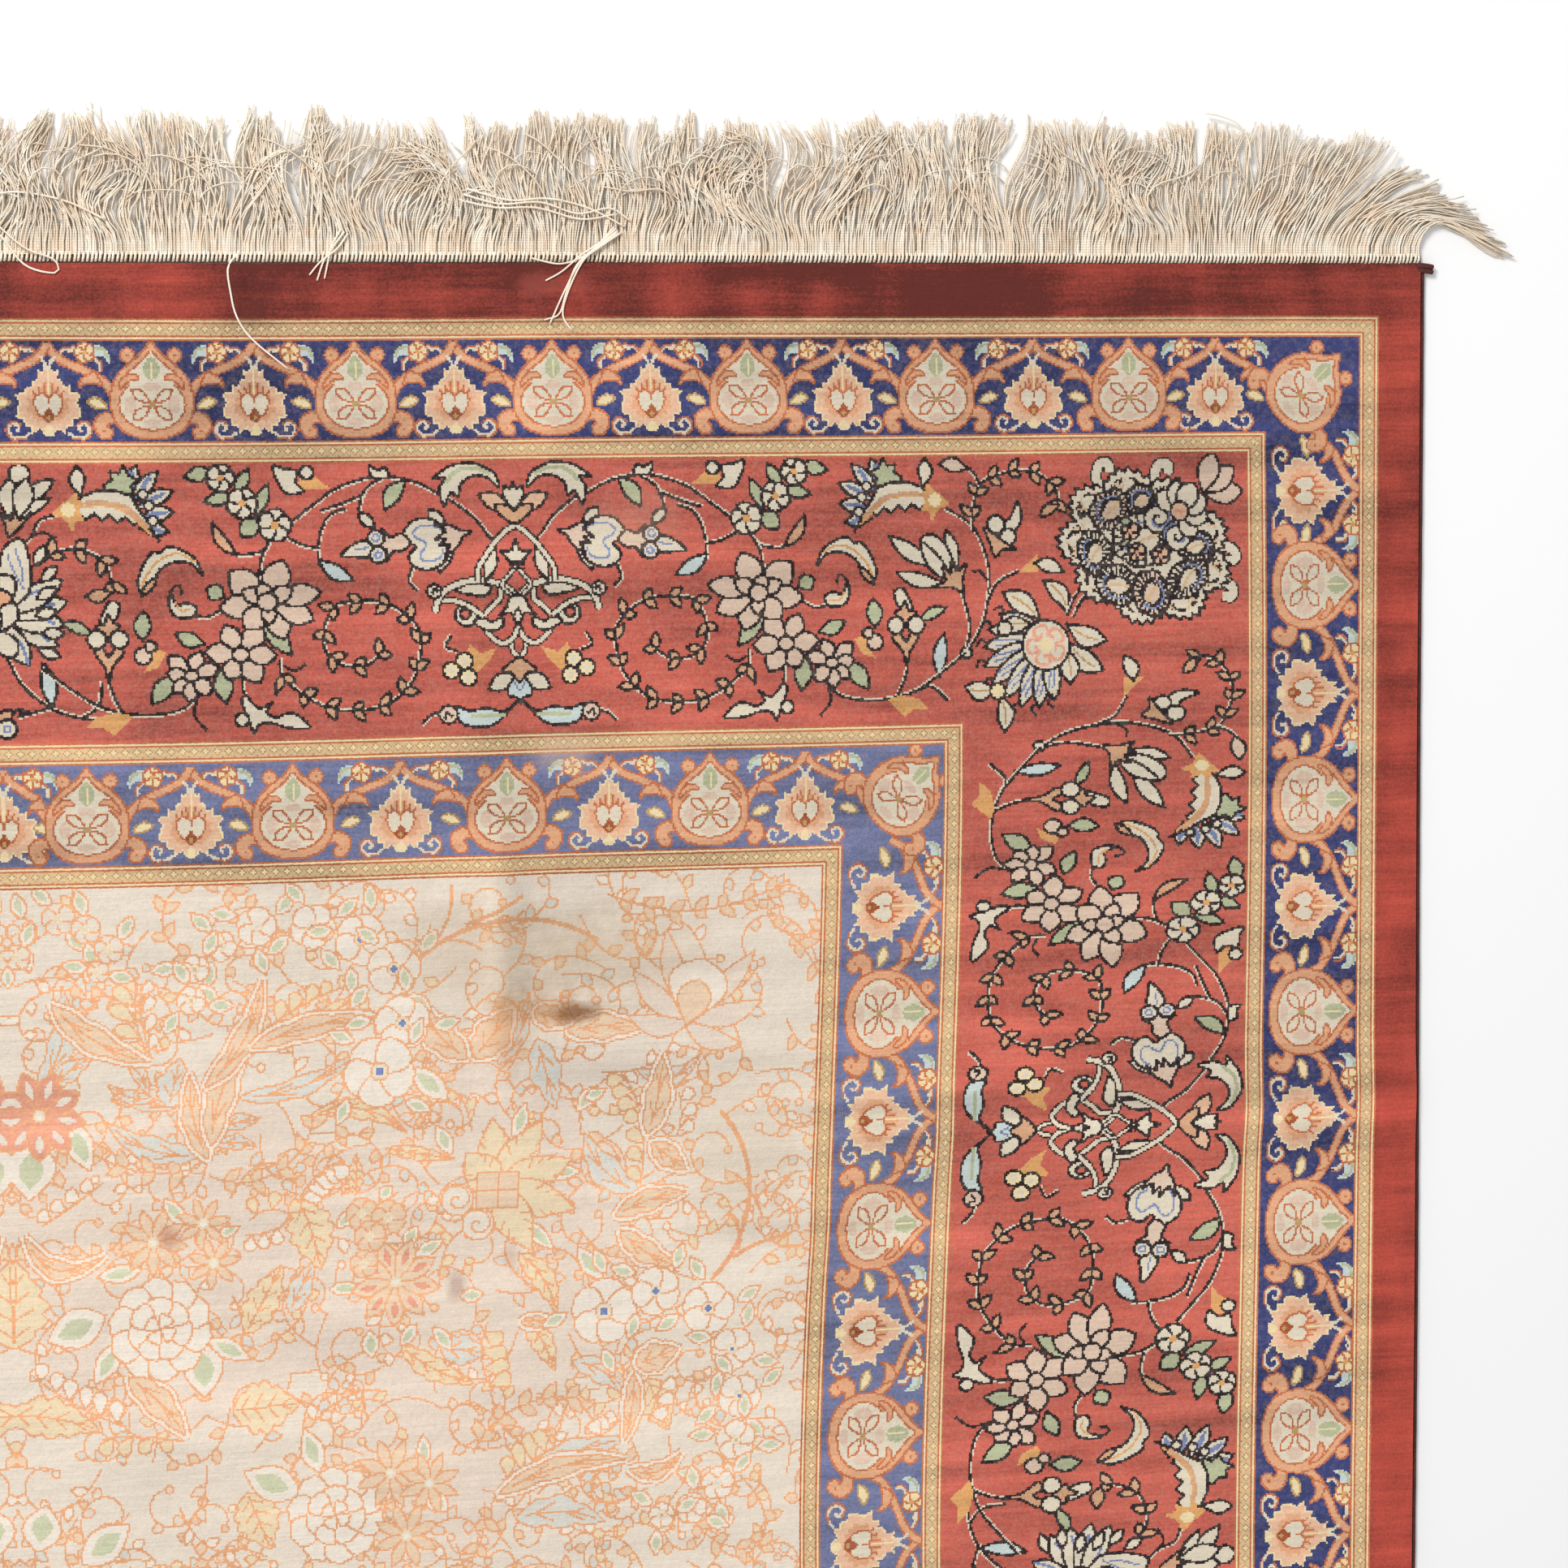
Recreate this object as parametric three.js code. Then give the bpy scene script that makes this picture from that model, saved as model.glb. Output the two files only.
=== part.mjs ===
// Hand-knotted rug with a silk pile, lying flat.
// Millimetres. +X runs across the rug, +Y along it, +Z up. The origin is the middle of the underside.
import * as THREE from 'three';

// Driving dimensions of the knotted cloth
const RUG_WIDTH = 1600; // over both selvedge cords
const RUG_LENGTH = 2560; // from the first row of knots to the last
const CLOTH_THICKNESS = 4.5; // foundation and pile together
const FIT_GAP = 0.3; // between one piece and the next
const COLUMNS = 34; // cells of the cloth's upper face across the rug
const ROWS = 54; // and along it

// Selvedge cord, overcast along each long side
const SELVEDGE_DIAMETER = 3;
const SELVEDGE_SIDES = 6;

// Fringe: a narrow flat-woven strip past each end of the pile, and the warp ends knotted out of it
const STRIP_DEPTH = 4.6;
const STRIP_THICKNESS = 1.8;
const STRANDS_PER_END = 150;
const STRAND_WIDTH = 4.4;
const STRAND_HEIGHT = 1.5;
const STRAND_LENGTH = 74; // past the strip
const STRAND_LENGTH_SPREAD = 5; // longest and shortest differ from it by this
const STRAND_STEPS = 3;
const STRAND_TIP_SCALE = 0.5; // a tip is this share of the strand's section
const FAN_REACH = 95; // strands closer than this to a corner lean outwards
const FAN_ANGLE = 1.45; // the lean of the last strand, in radians
const FAN_SHORTENING = 0.2; // the last strand is shorter by this share
const WAVE_HEIGHT = 3.2; // how far a strand sways to each side
const WAVE_COUNT = 0.9; // sways in a strand's length

// The edges aren't quite straight: a hand-woven rug draws in and out along its loom
const SIDE_WOBBLE = 1.2;
const END_WOBBLE = 1;

// Ripples in the cloth: soft ridges, each with its middle, its direction from +X in degrees,
// its half length, its half width and its height
const RIPPLES = [
  { x: 655, y: 800, turn: 2, long: 170, wide: 34, high: 3.4 },
  { x: 268, y: 905, turn: 96, long: 150, wide: 30, high: 3.6 },
  { x: 78, y: 1235, turn: 90, long: 75, wide: 26, high: 2.6 },
  { x: 296, y: 1225, turn: 84, long: 85, wide: 26, high: 2.8 },
  { x: 430, y: 735, turn: 35, long: 70, wide: 36, high: 3.2 },
  { x: 120, y: 640, turn: 165, long: 150, wide: 40, high: 3 },
  { x: -310, y: 880, turn: 20, long: 160, wide: 44, high: 2.8 },
  { x: -640, y: 420, turn: 170, long: 170, wide: 46, high: 3 },
  { x: 560, y: -260, turn: 8, long: 190, wide: 50, high: 3 },
  { x: -420, y: -560, turn: 110, long: 180, wide: 46, high: 2.8 },
  { x: 250, y: -930, turn: 75, long: 170, wide: 44, high: 3 },
];

// --- shared shape functions ---

const halfWidth = RUG_WIDTH / 2;
const halfLength = RUG_LENGTH / 2;

// How far a long side lies from its straight line, at a place along the rug
function sideWobble(y, side) {
  const t = (y / halfLength) * Math.PI;
  return -SIDE_WOBBLE * (0.5 + 0.3 * Math.sin(2.3 * t + side) + 0.2 * Math.sin(5.1 * t + 2 * side));
}

// The same for an end, at a place across the rug
function endWobble(x, end) {
  const t = (x / halfWidth) * Math.PI;
  return -END_WOBBLE * (0.5 + 0.3 * Math.sin(1.7 * t + end) + 0.2 * Math.sin(4.3 * t - end));
}

function rippleHeight(x, y) {
  let height = 0;
  for (const ripple of RIPPLES) {
    const turn = THREE.MathUtils.degToRad(ripple.turn);
    const along = (x - ripple.x) * Math.cos(turn) + (y - ripple.y) * Math.sin(turn);
    const across = (y - ripple.y) * Math.cos(turn) - (x - ripple.x) * Math.sin(turn);
    height += ripple.high * Math.exp(-((along / ripple.long) ** 2) - (across / ripple.wide) ** 2);
  }
  return height;
}

// A place on the cloth from its share of the width and of the length, both from -1 to 1
function clothPoint(across, along) {
  const side = Math.sign(across) || 1;
  const end = Math.sign(along) || 1;
  const reachX = halfWidth - SELVEDGE_DIAMETER - FIT_GAP + sideWobble(along * halfLength, side);
  const reachY = halfLength + endWobble(across * halfWidth, end);
  return new THREE.Vector2(across * reachX, along * reachY);
}

function closedGeometry(points, triangles) {
  const geometry = new THREE.BufferGeometry();
  geometry.setAttribute('position', new THREE.Float32BufferAttribute(points.flat(), 3));
  geometry.setIndex(triangles.flat());
  return geometry;
}

function named(name, geometry, material) {
  geometry.computeVertexNormals();
  const mesh = new THREE.Mesh(geometry, material);
  mesh.name = name;
  return mesh;
}

// --- knotted cloth: rippled above, flat below ---

function clothGeometry() {
  const points = [];
  const triangles = [];
  const top = (i, j) => j * (COLUMNS + 1) + i;
  for (let j = 0; j <= ROWS; j++) {
    for (let i = 0; i <= COLUMNS; i++) {
      const place = clothPoint((2 * i) / COLUMNS - 1, (2 * j) / ROWS - 1);
      points.push([place.x, place.y, CLOTH_THICKNESS + rippleHeight(place.x, place.y)]);
    }
  }
  for (let j = 0; j < ROWS; j++) {
    for (let i = 0; i < COLUMNS; i++) {
      triangles.push([top(i, j), top(i + 1, j), top(i + 1, j + 1)]);
      triangles.push([top(i, j), top(i + 1, j + 1), top(i, j + 1)]);
    }
  }
  // The rim runs counter-clockwise seen from above
  const rim = [];
  for (let i = 0; i < COLUMNS; i++) rim.push(top(i, 0));
  for (let j = 0; j < ROWS; j++) rim.push(top(COLUMNS, j));
  for (let i = COLUMNS; i > 0; i--) rim.push(top(i, ROWS));
  for (let j = ROWS; j > 0; j--) rim.push(top(0, j));
  const firstBelow = points.length;
  for (const above of rim) points.push([points[above][0], points[above][1], 0]);
  rim.forEach((above, k) => {
    const next = (k + 1) % rim.length;
    triangles.push([firstBelow + k, firstBelow + next, rim[next]]);
    triangles.push([firstBelow + k, rim[next], above]);
  });
  const outline = rim.map((above) => new THREE.Vector2(points[above][0], points[above][1]));
  for (const [a, b, c] of THREE.ShapeUtils.triangulateShape(outline, [])) {
    triangles.push([firstBelow + c, firstBelow + b, firstBelow + a]);
  }
  return closedGeometry(points, triangles);
}

// --- selvedge cord along one long side ---

function selvedgeGeometry(side) {
  const radius = SELVEDGE_DIAMETER / 2;
  const flatReach = radius * Math.cos(Math.PI / SELVEDGE_SIDES);
  const points = [];
  const triangles = [];
  for (let j = 0; j <= ROWS; j++) {
    const edge = clothPoint(side, (2 * j) / ROWS - 1);
    const middle = edge.x + side * (FIT_GAP + radius);
    for (let k = 0; k < SELVEDGE_SIDES; k++) {
      const turn = (2 * Math.PI * k) / SELVEDGE_SIDES;
      points.push([middle + radius * Math.cos(turn), edge.y, flatReach + radius * Math.sin(turn)]);
    }
  }
  const at = (j, k) => j * SELVEDGE_SIDES + (k % SELVEDGE_SIDES);
  for (let j = 0; j < ROWS; j++) {
    for (let k = 0; k < SELVEDGE_SIDES; k++) {
      triangles.push([at(j, k), at(j + 1, k), at(j + 1, k + 1)]);
      triangles.push([at(j, k), at(j + 1, k + 1), at(j, k + 1)]);
    }
  }
  for (let k = 1; k < SELVEDGE_SIDES - 1; k++) {
    triangles.push([at(0, 0), at(0, k), at(0, k + 1)]);
    triangles.push([at(ROWS, 0), at(ROWS, k + 1), at(ROWS, k)]);
  }
  return closedGeometry(points, triangles);
}

// --- fringe of one end: a strip with its strands fused to it ---

const wallY = halfLength + FIT_GAP + STRIP_DEPTH; // the strip's outer wall, where the strands leave it

// The middle line of a strand on the floor, as points from its root to its tip
function strandPath(index) {
  const rootX = ((index + 0.5) / STRANDS_PER_END - 0.5) * (RUG_WIDTH - 2 * STRAND_WIDTH);
  const toCorner = Math.max(0, 1 - (halfWidth - Math.abs(rootX)) / FAN_REACH);
  const lean = Math.sign(rootX) * FAN_ANGLE * toCorner ** 1.3;
  const uneven = STRAND_LENGTH_SPREAD * Math.sin(2.9 * index);
  const length = (STRAND_LENGTH + uneven) * (1 - FAN_SHORTENING * toCorner);
  const path = [];
  for (let step = 0; step <= STRAND_STEPS; step++) {
    const share = step / STRAND_STEPS;
    const bend = lean * Math.min(1, 2 * share);
    const sway = WAVE_HEIGHT * share * Math.sin(2 * Math.PI * WAVE_COUNT * share + rootX / 60);
    path.push(new THREE.Vector2(
      rootX + share * length * Math.sin(bend) + sway * Math.cos(bend),
      wallY + share * length * Math.cos(bend),
    ));
  }
  return path;
}

// The three corners of a strand at each step: left on the floor, ridge, right on the floor
function strandRings(index) {
  const path = strandPath(index);
  return path.map((place, step) => {
    const before = path[Math.max(step - 1, 0)];
    const after = path[Math.min(step + 1, STRAND_STEPS)];
    const ahead = after.clone().sub(before).normalize();
    if (step === 0) ahead.set(0, 1); // a root leaves the wall squarely
    const scale = THREE.MathUtils.lerp(1, STRAND_TIP_SCALE, step / STRAND_STEPS);
    const toRight = new THREE.Vector2(ahead.y, -ahead.x).multiplyScalar((STRAND_WIDTH / 2) * scale);
    return [
      [place.x - toRight.x, place.y - toRight.y, 0],
      [place.x, place.y, STRAND_HEIGHT * scale],
      [place.x + toRight.x, place.y + toRight.y, 0],
    ];
  });
}

// Built for the head end
function fringeGeometry() {
  const points = [];
  const triangles = [];
  const left = -halfWidth + SELVEDGE_DIAMETER;
  const right = halfWidth - SELVEDGE_DIAMETER;
  const innerY = halfLength + FIT_GAP;
  const add = (x, y, z) => points.push([x, y, z]) - 1;
  const inner = [add(left, innerY, 0), add(right, innerY, 0), add(right, innerY, STRIP_THICKNESS),
    add(left, innerY, STRIP_THICKNESS)];
  const outer = [add(left, wallY, 0), add(right, wallY, 0), add(right, wallY, STRIP_THICKNESS),
    add(left, wallY, STRIP_THICKNESS)];
  const wall = [outer[0]]; // the outer wall's outline, with a notch where each strand leaves it
  const sole = [outer[0]]; // the underside's outline along that wall
  for (let index = 0; index < STRANDS_PER_END; index++) {
    const rings = strandRings(index).map((ring) => ring.map((corner) => add(...corner)));
    wall.push(...rings[0]);
    sole.push(rings[0][0], rings[0][2]);
    for (let step = 0; step < STRAND_STEPS; step++) {
      for (let k = 0; k < 3; k++) {
        const next = (k + 1) % 3;
        triangles.push([rings[step][k], rings[step][next], rings[step + 1][next]]);
        triangles.push([rings[step][k], rings[step + 1][next], rings[step + 1][k]]);
      }
    }
    triangles.push([rings[STRAND_STEPS][2], rings[STRAND_STEPS][0], rings[STRAND_STEPS][1]]);
  }
  wall.push(outer[1], outer[2], outer[3]);
  sole.push(outer[1], inner[1], inner[0]);
  const flat = (outline, axis) => outline.map((at) => new THREE.Vector2(points[at][0], points[at][axis]));
  for (const [a, b, c] of THREE.ShapeUtils.triangulateShape(flat(wall, 2), [])) {
    triangles.push([wall[c], wall[b], wall[a]]);
  }
  for (const [a, b, c] of THREE.ShapeUtils.triangulateShape(flat(sole, 1), [])) {
    triangles.push([sole[c], sole[b], sole[a]]);
  }
  const quads = [
    [inner[0], inner[1], inner[2], inner[3]], // towards the pile
    [inner[3], inner[2], outer[2], outer[3]], // top
    [inner[1], outer[1], outer[2], inner[2]], // right end
    [outer[0], inner[0], inner[3], outer[3]], // left end
  ];
  for (const [a, b, c, d] of quads) triangles.push([a, b, c], [a, c, d]);
  return closedGeometry(points, triangles);
}

// --- materials and the assembled rug ---

const pile = new THREE.MeshStandardMaterial({ color: 0xc07062, roughness: 0.75, metalness: 0 });
const overcast = new THREE.MeshStandardMaterial({ color: 0x4a1f1a, roughness: 0.85, metalness: 0 });
const silk = new THREE.MeshStandardMaterial({ color: 0xe6dac4, roughness: 0.6, metalness: 0 });

const rug = new THREE.Group();
rug.add(named('knotted_cloth', clothGeometry(), pile));
rug.add(named('selvedge_right', selvedgeGeometry(1), overcast));
rug.add(named('selvedge_left', selvedgeGeometry(-1), overcast));
rug.add(named('fringe_head', fringeGeometry(), silk));
const foot = named('fringe_foot', fringeGeometry(), silk);
foot.rotation.z = Math.PI; // the head's fringe turned half round
rug.add(foot);

export default rug;
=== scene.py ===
import math

import bpy
import numpy as np
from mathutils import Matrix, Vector


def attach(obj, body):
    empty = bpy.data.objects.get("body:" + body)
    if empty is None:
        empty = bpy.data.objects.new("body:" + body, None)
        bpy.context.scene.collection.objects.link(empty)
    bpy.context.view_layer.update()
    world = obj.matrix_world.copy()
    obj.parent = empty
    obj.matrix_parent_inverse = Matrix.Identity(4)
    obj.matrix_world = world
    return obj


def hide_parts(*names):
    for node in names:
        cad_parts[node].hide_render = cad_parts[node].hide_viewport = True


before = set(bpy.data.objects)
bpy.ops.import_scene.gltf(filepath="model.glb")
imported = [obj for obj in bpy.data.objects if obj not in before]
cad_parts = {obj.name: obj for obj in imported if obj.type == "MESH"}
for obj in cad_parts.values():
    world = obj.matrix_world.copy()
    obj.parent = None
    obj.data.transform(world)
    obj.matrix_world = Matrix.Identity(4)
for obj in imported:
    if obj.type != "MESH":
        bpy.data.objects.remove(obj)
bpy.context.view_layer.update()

MM = 0.001
TAU = 2 * math.pi

# ---------------------------------------------------------------------------
# Sizes, in millimetres. One knot of the pile is one millimetre.
# ---------------------------------------------------------------------------
HALF_WIDTH = 800
HALF_LENGTH = 1280
CLOTH_THICKNESS = 4.5
FOUNDATION_THICKNESS = 1.4
FOUNDATION_INSET = 0.6  # from the edge of the cloth
FOUNDATION_POINTS = (65, 105)  # of its grid, across and along
SELVEDGE_DIAMETER = 3.0
SELVEDGE_SIDES = 8
SELVEDGE_POINTS = 321
FIT_GAP = 0.3
STRIP_DEPTH = 4.6
STRIP_THICKNESS = 1.8
STRAND_LENGTH = 74
STRAND_LENGTH_SPREAD = 5
FAN_REACH = 126
FAN_ANGLE = 2.02
FAN_SHORTENING = 0.02
SIDE_WOBBLE = 1.2
END_WOBBLE = 1.0
LEAN = 8.5  # how far the pattern leans to the side
LEAN_START = 795
LEAN_LENGTH = 485  # from one lean to the other
LEAN_OFFSET = 1.5
WAVER = 1.2

# Places of the border's motifs, in knots from the rug's middle
END_CARTOUCHE = 274
END_MIDDLE = 1100
SIDE_MIDDLE = 610
SIDE_CARTOUCHES = (794, 265)
SIDE_PALMETTES = (529, 0)
# Motifs are wider across the sides than across the ends. Their length differs up and down the side.
SIDE_UP_SCALE = (0.86, 1.149)
SIDE_DOWN_SCALE = (0.97, 1.149)
SIDE_GUARD_SCALE = (1.12, 1.07)
# Of each guard: medallions along the end, medallions along the side, the corner's medallion, the line of
# the flowers along the end and along the side
OUTER_GUARD_PLACES = ((-26, 82.5, 191, 298, 407, 514, 626), tuple(np.linspace(0, 1099, 10)), (728, 1206),
                      1205.5, 730)
INNER_GUARD_PLACES = ((-43, 43, 151, 266, 379), (0, 125, 250, 374, 499, 624, 744, 864), (487, 984), 979.5,
                      478.5)
FIELD_FOLD = 553  # the field's block stands above this line and is mirrored below it
FIELD_REPEAT = 790  # from the block to its second copy

CELL = 8  # knots along each side of a face of the pile
FRINGE_STEPS = 12
FRINGE_PIECES = 3
FRINGE_HEIGHT = 5.2
STRANDS_PER_END = 3400
STRAND_RADIUS = (0.5, 0.84)
LOCK_WIDTH = (5, 15)
SWEPT_SHARE = (0.2, 0.06)  # of the locks, in the tangled part and outside it
CURLED_SHARE = (0.13, 0.05)  # of the strands, in the tangled part and outside it
TOOTH_RADIUS = 0.72
PLIES = 2
TURNS_PER_MM = 0.7  # of the plies round a thread
PATCH_SCALE = 90  # of the patches of lighter and darker thread
TOOTH_PITCH = 2.25
TANGLED_REACH = 460  # the threads are more tangled closer to the middle than this
PANELS_ACROSS = 2
PANELS_ALONG = 4

# Ripples: middle, direction from +X in degrees, half length, half width, height
RIPPLES = (
    dict(x=655, y=800, turn=2, long=170, wide=20, high=3.6),
    dict(x=268, y=905, turn=96, long=150, wide=15, high=4.2),
    dict(x=78, y=1235, turn=90, long=75, wide=15, high=2.8),
    dict(x=296, y=1225, turn=84, long=85, wide=15, high=3),
    dict(x=430, y=735, turn=35, long=70, wide=20, high=3.6),
    dict(x=120, y=640, turn=165, long=150, wide=24, high=3.4),
    dict(x=-310, y=880, turn=20, long=160, wide=44, high=2.8),
    dict(x=-640, y=420, turn=170, long=170, wide=46, high=3),
    dict(x=560, y=-260, turn=8, long=190, wide=50, high=3),
    dict(x=-420, y=-560, turn=110, long=180, wide=46, high=2.8),
    dict(x=250, y=-930, turn=75, long=170, wide=44, high=3),
)

# Stains, and two spots of painted sheen on the plain end band: middle, half width and half height, strength,
# colour
STAINS_AND_SHEEN_SPOTS = (
    (304, 871, 15, 7, 0.85, (104, 58, 22)),
    (290, 874, 30, 12, 0.4, (176, 122, 66)),
    (266, 864, 12, 26, 0.45, (196, 140, 92)),
    (262, 905, 70, 34, 0.32, (166, 140, 104)),
    (335, 902, 55, 28, 0.26, (176, 150, 112)),
    (405, 790, 45, 60, 0.16, (172, 148, 110)),
    (238, 722, 7, 9, 0.45, (150, 100, 80)),
    (82, 756, 7, 8, 0.5, (168, 84, 60)),
    (268, 735, 5, 8, 0.3, (176, 120, 80)),
    # the next two are painted sheen on the plain end band: a painted dark patch and a painted highlight
    # where a ripple catches the light
    (138, 1268, 22, 8, 0.55, (74, 22, 20)),
    (298, 1268, 24, 8, 0.3, (196, 92, 78)),
    (302, 1014, 20, 12, 0.35, (226, 190, 162)),
    (345, 1140, 30, 16, 0.12, (230, 190, 160)),
    (360, 1020, 12, 5, 0.4, (214, 178, 132)),
)

# Painted shade and painted highlight where folds leave the pile darker or lighter: middle, half width and
# half height, tone
PAINTED_FOLD_SHADING = (
    (640, 809, 190, 9, 0.76), (640, 795, 190, 8, 1.12), (300, 945, 30, 60, 0.94),
    (273, 905, 12, 74, 0.87), (260, 905, 8, 74, 1.08), (700, 1020, 60, 40, 0.93), (420, 742, 60, 14, 0.9),
    (500, 735, 40, 8, 1.05), (80, 1262, 26, 60, 1.1), (250, 1150, 60, 26, 0.92), (300, 838, 60, 9, 0.88),
    (236, 840, 14, 46, 0.94), (180, 692, 120, 8, 0.93), (640, 1150, 46, 60, 0.9),
    (690, 640, 26, 100, 1.05), (120, 1180, 90, 20, 0.9),
)
KNOT_RAGGEDNESS = 0.9
WORN_FIBRE = (186, 164, 150)
BLACK_LINE = 1.5  # least width of a black line of the chart
CURVE_STEPS = 8  # from one given point of a curve to the next

# Where the plain band sets in, in metres from the rug's middle
PLAIN_END_EDGE = (1.244, 1.252)
PLAIN_SIDE_EDGE = (0.768, 0.775)
PILE_ROUGHNESS = 0.72
PILE_SPECULAR = 0.25
PILE_SHEEN = 0.18
PILE_SHEEN_ROUGHNESS = 0.45

# Where one band of the border ends and the next begins, counted in from the end and from the side:
# plain, stripe, blue guard, stripe, main border, stripe, inner guard, stripe, field
END_BANDS = (29, 41, 94, 106, 254, 266, 320, 332)
SIDE_BANDS = (25, 37, 93, 105, 275, 287, 345, 357)
PLAIN, STRIPE_1, GUARD, STRIPE_2, MAIN, STRIPE_3, INNER_GUARD, STRIPE_4, FIELD = range(9)

# Dyes of the silk, in sRGB
DYES = dict(
    rust=(155, 61, 49),
    salmon=(191, 93, 78),
    navy=(52, 58, 106),
    faded_blue=(106, 112, 148),
    field_ivory=(228, 214, 197),
    ivory=(219, 207, 184),
    black=(34, 24, 26),
    peach=(218, 162, 123),
    orange=(188, 106, 67),
    tan=(214, 181, 139),
    olive=(184, 149, 98),
    yellow=(233, 213, 167),
    gold=(216, 159, 98),
    sage=(176, 180, 144),
    aqua=(194, 206, 202),
    pink=(216, 189, 167),
    steel=(118, 132, 170),
    field_line=(231, 168, 122),
    field_gold=(231, 210, 175),
    field_peach=(230, 201, 171),
    field_pink=(227, 209, 192),
    field_red=(226, 158, 130),
    light_peach=(227, 183, 151),
    brown=(158, 78, 40),
    sprig=(206, 158, 122),
    field_blue=(120, 132, 176),
    field_aqua=(215, 211, 200),
    field_white=(234, 222, 207),
    field_sage=(202, 203, 170),
)
DYE_NAMES = list(DYES)

# Light and dark tone of the other threads
FRINGE_SILK = ((255, 246, 230), (248, 226, 200))
STRIP_SILK = ((150, 128, 104), (96, 74, 58))
# the overcast's dark tone is partly its own dark red-brown and partly painted shade of the shadowed edge
OVERCAST_WOOL = ((92, 40, 34), (52, 22, 20))
WOVEN_BACK = ((178, 120, 100), (150, 88, 76))
(RUST, SALMON, NAVY, FADED_BLUE, FIELD_IVORY, IVORY, BLACK, PEACH, ORANGE, TAN, OLIVE, YELLOW, GOLD, SAGE,
 AQUA, PINK, STEEL, FIELD_LINE, FIELD_GOLD, FIELD_PEACH, FIELD_PINK, FIELD_RED, LIGHT_PEACH, BROWN, SPRIG,
 FIELD_BLUE, FIELD_AQUA, FIELD_WHITE, FIELD_SAGE) = range(len(DYES))


# ---------------------------------------------------------------------------
# The chart: a quarter of the rug, one entry for each knot. The rug is the quarter mirrored four ways.
# x runs from the rug's middle to its side, y from its middle to its end.
# ---------------------------------------------------------------------------
class Chart:
    def __init__(self):
        self.knots = np.zeros((HALF_LENGTH, HALF_WIDTH), np.uint8)
        from_side = HALF_WIDTH - 1 - np.arange(HALF_WIDTH)
        from_end = HALF_LENGTH - 1 - np.arange(HALF_LENGTH)
        self.side_band = np.searchsorted(SIDE_BANDS, from_side, "right")[None, :]
        self.end_band = np.searchsorted(END_BANDS, from_end, "right")[:, None]
        self.band = np.minimum(self.side_band, self.end_band)
        side_start = np.array((0,) + SIDE_BANDS)
        end_start = np.array((0,) + END_BANDS)
        far = 10000
        by_side = np.where(self.side_band == self.band, from_side[None, :] - side_start[self.band], far)
        by_end = np.where(self.end_band == self.band, from_end[:, None] - end_start[self.band], far)
        self.depth = np.minimum(by_side, by_end)
        self.runs_along_end = by_end <= by_side
        self.open = np.ones_like(self.knots, bool)

    def clip(self, *bands):
        """Only knots of these bands are painted from now on."""
        self.open = np.isin(self.band, bands)

    def paint(self, rows, columns, dye):
        good = (rows >= 0) & (rows < HALF_LENGTH) & (columns >= 0) & (columns < HALF_WIDTH)
        rows, columns = rows[good], columns[good]
        allowed = self.open[rows, columns]
        self.knots[rows[allowed], columns[allowed]] = dye

    def fill(self, outline, dye):
        """Fills a closed outline by the even-odd rule."""
        low = np.floor(outline.min(0)).astype(int)
        high = np.ceil(outline.max(0)).astype(int)
        low = np.maximum(low, 0)
        high = np.minimum(high, (HALF_WIDTH, HALF_LENGTH))
        if (high <= low).any():
            return
        xs = np.arange(low[0], high[0]) + 0.5
        ys = np.arange(low[1], high[1]) + 0.5
        x1, y1 = outline[:, 0], outline[:, 1]
        x2, y2 = np.roll(x1, -1), np.roll(y1, -1)
        inside = np.zeros((len(ys), len(xs)), bool)
        for row, y in enumerate(ys):
            crossing = (y1 > y) != (y2 > y)
            if crossing.any():
                a, b = y1[crossing], y2[crossing]
                at = x1[crossing] + (y - a) / (b - a) * (x2[crossing] - x1[crossing])
                inside[row] = (xs[:, None] > at[None, :]).sum(1) % 2 == 1
        rows, columns = np.nonzero(inside)
        self.paint(rows + low[1], columns + low[0], dye)

    def draw(self, path, dye, width=1.0):
        """Marks the knots under a path, one or more knots wide. Black lines are a little heavier."""
        if dye == BLACK:
            width = max(width, BLACK_LINE)
        total = distances(path)
        if total[-1] < 1e-6:
            return
        at = np.linspace(0, total[-1], max(2, int(total[-1] / 0.4)))
        points = np.column_stack([np.interp(at, total, path[:, k]) for k in (0, 1)])
        if width > 1:
            offsets = np.arange(-(width - 1) / 2, (width - 1) / 2 + 0.01, 0.5)
            points = (points[None] + offsets[:, None, None] * sideways(points)[None]).reshape(-1, 2)
        cells = np.floor(points).astype(int)
        self.paint(cells[:, 1], cells[:, 0], dye)


def distances(path):
    """How far each point of a path is from its start, measured along it."""
    return np.concatenate(([0], np.cumsum(np.hypot(*np.diff(path, axis=0).T))))


def sideways(path):
    """Unit vectors across a path, towards its left."""
    ahead = np.gradient(path, axis=0)
    ahead /= np.maximum(np.hypot(ahead[:, 0], ahead[:, 1]), 1e-9)[:, None]
    return np.column_stack([-ahead[:, 1], ahead[:, 0]])


def facing(ahead):
    """The turn, in degrees, of a pen whose y points along ahead."""
    return math.degrees(math.atan2(ahead[1], ahead[0])) - 90


def spiral(low, high, steps, pitch=1.0, out=0.0):
    """Points of a spiral whose radius grows from low to high."""
    return [((r + out) * math.cos(pitch * r), (r + out) * math.sin(pitch * r))
            for r in np.linspace(low, high, steps)]


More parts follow.
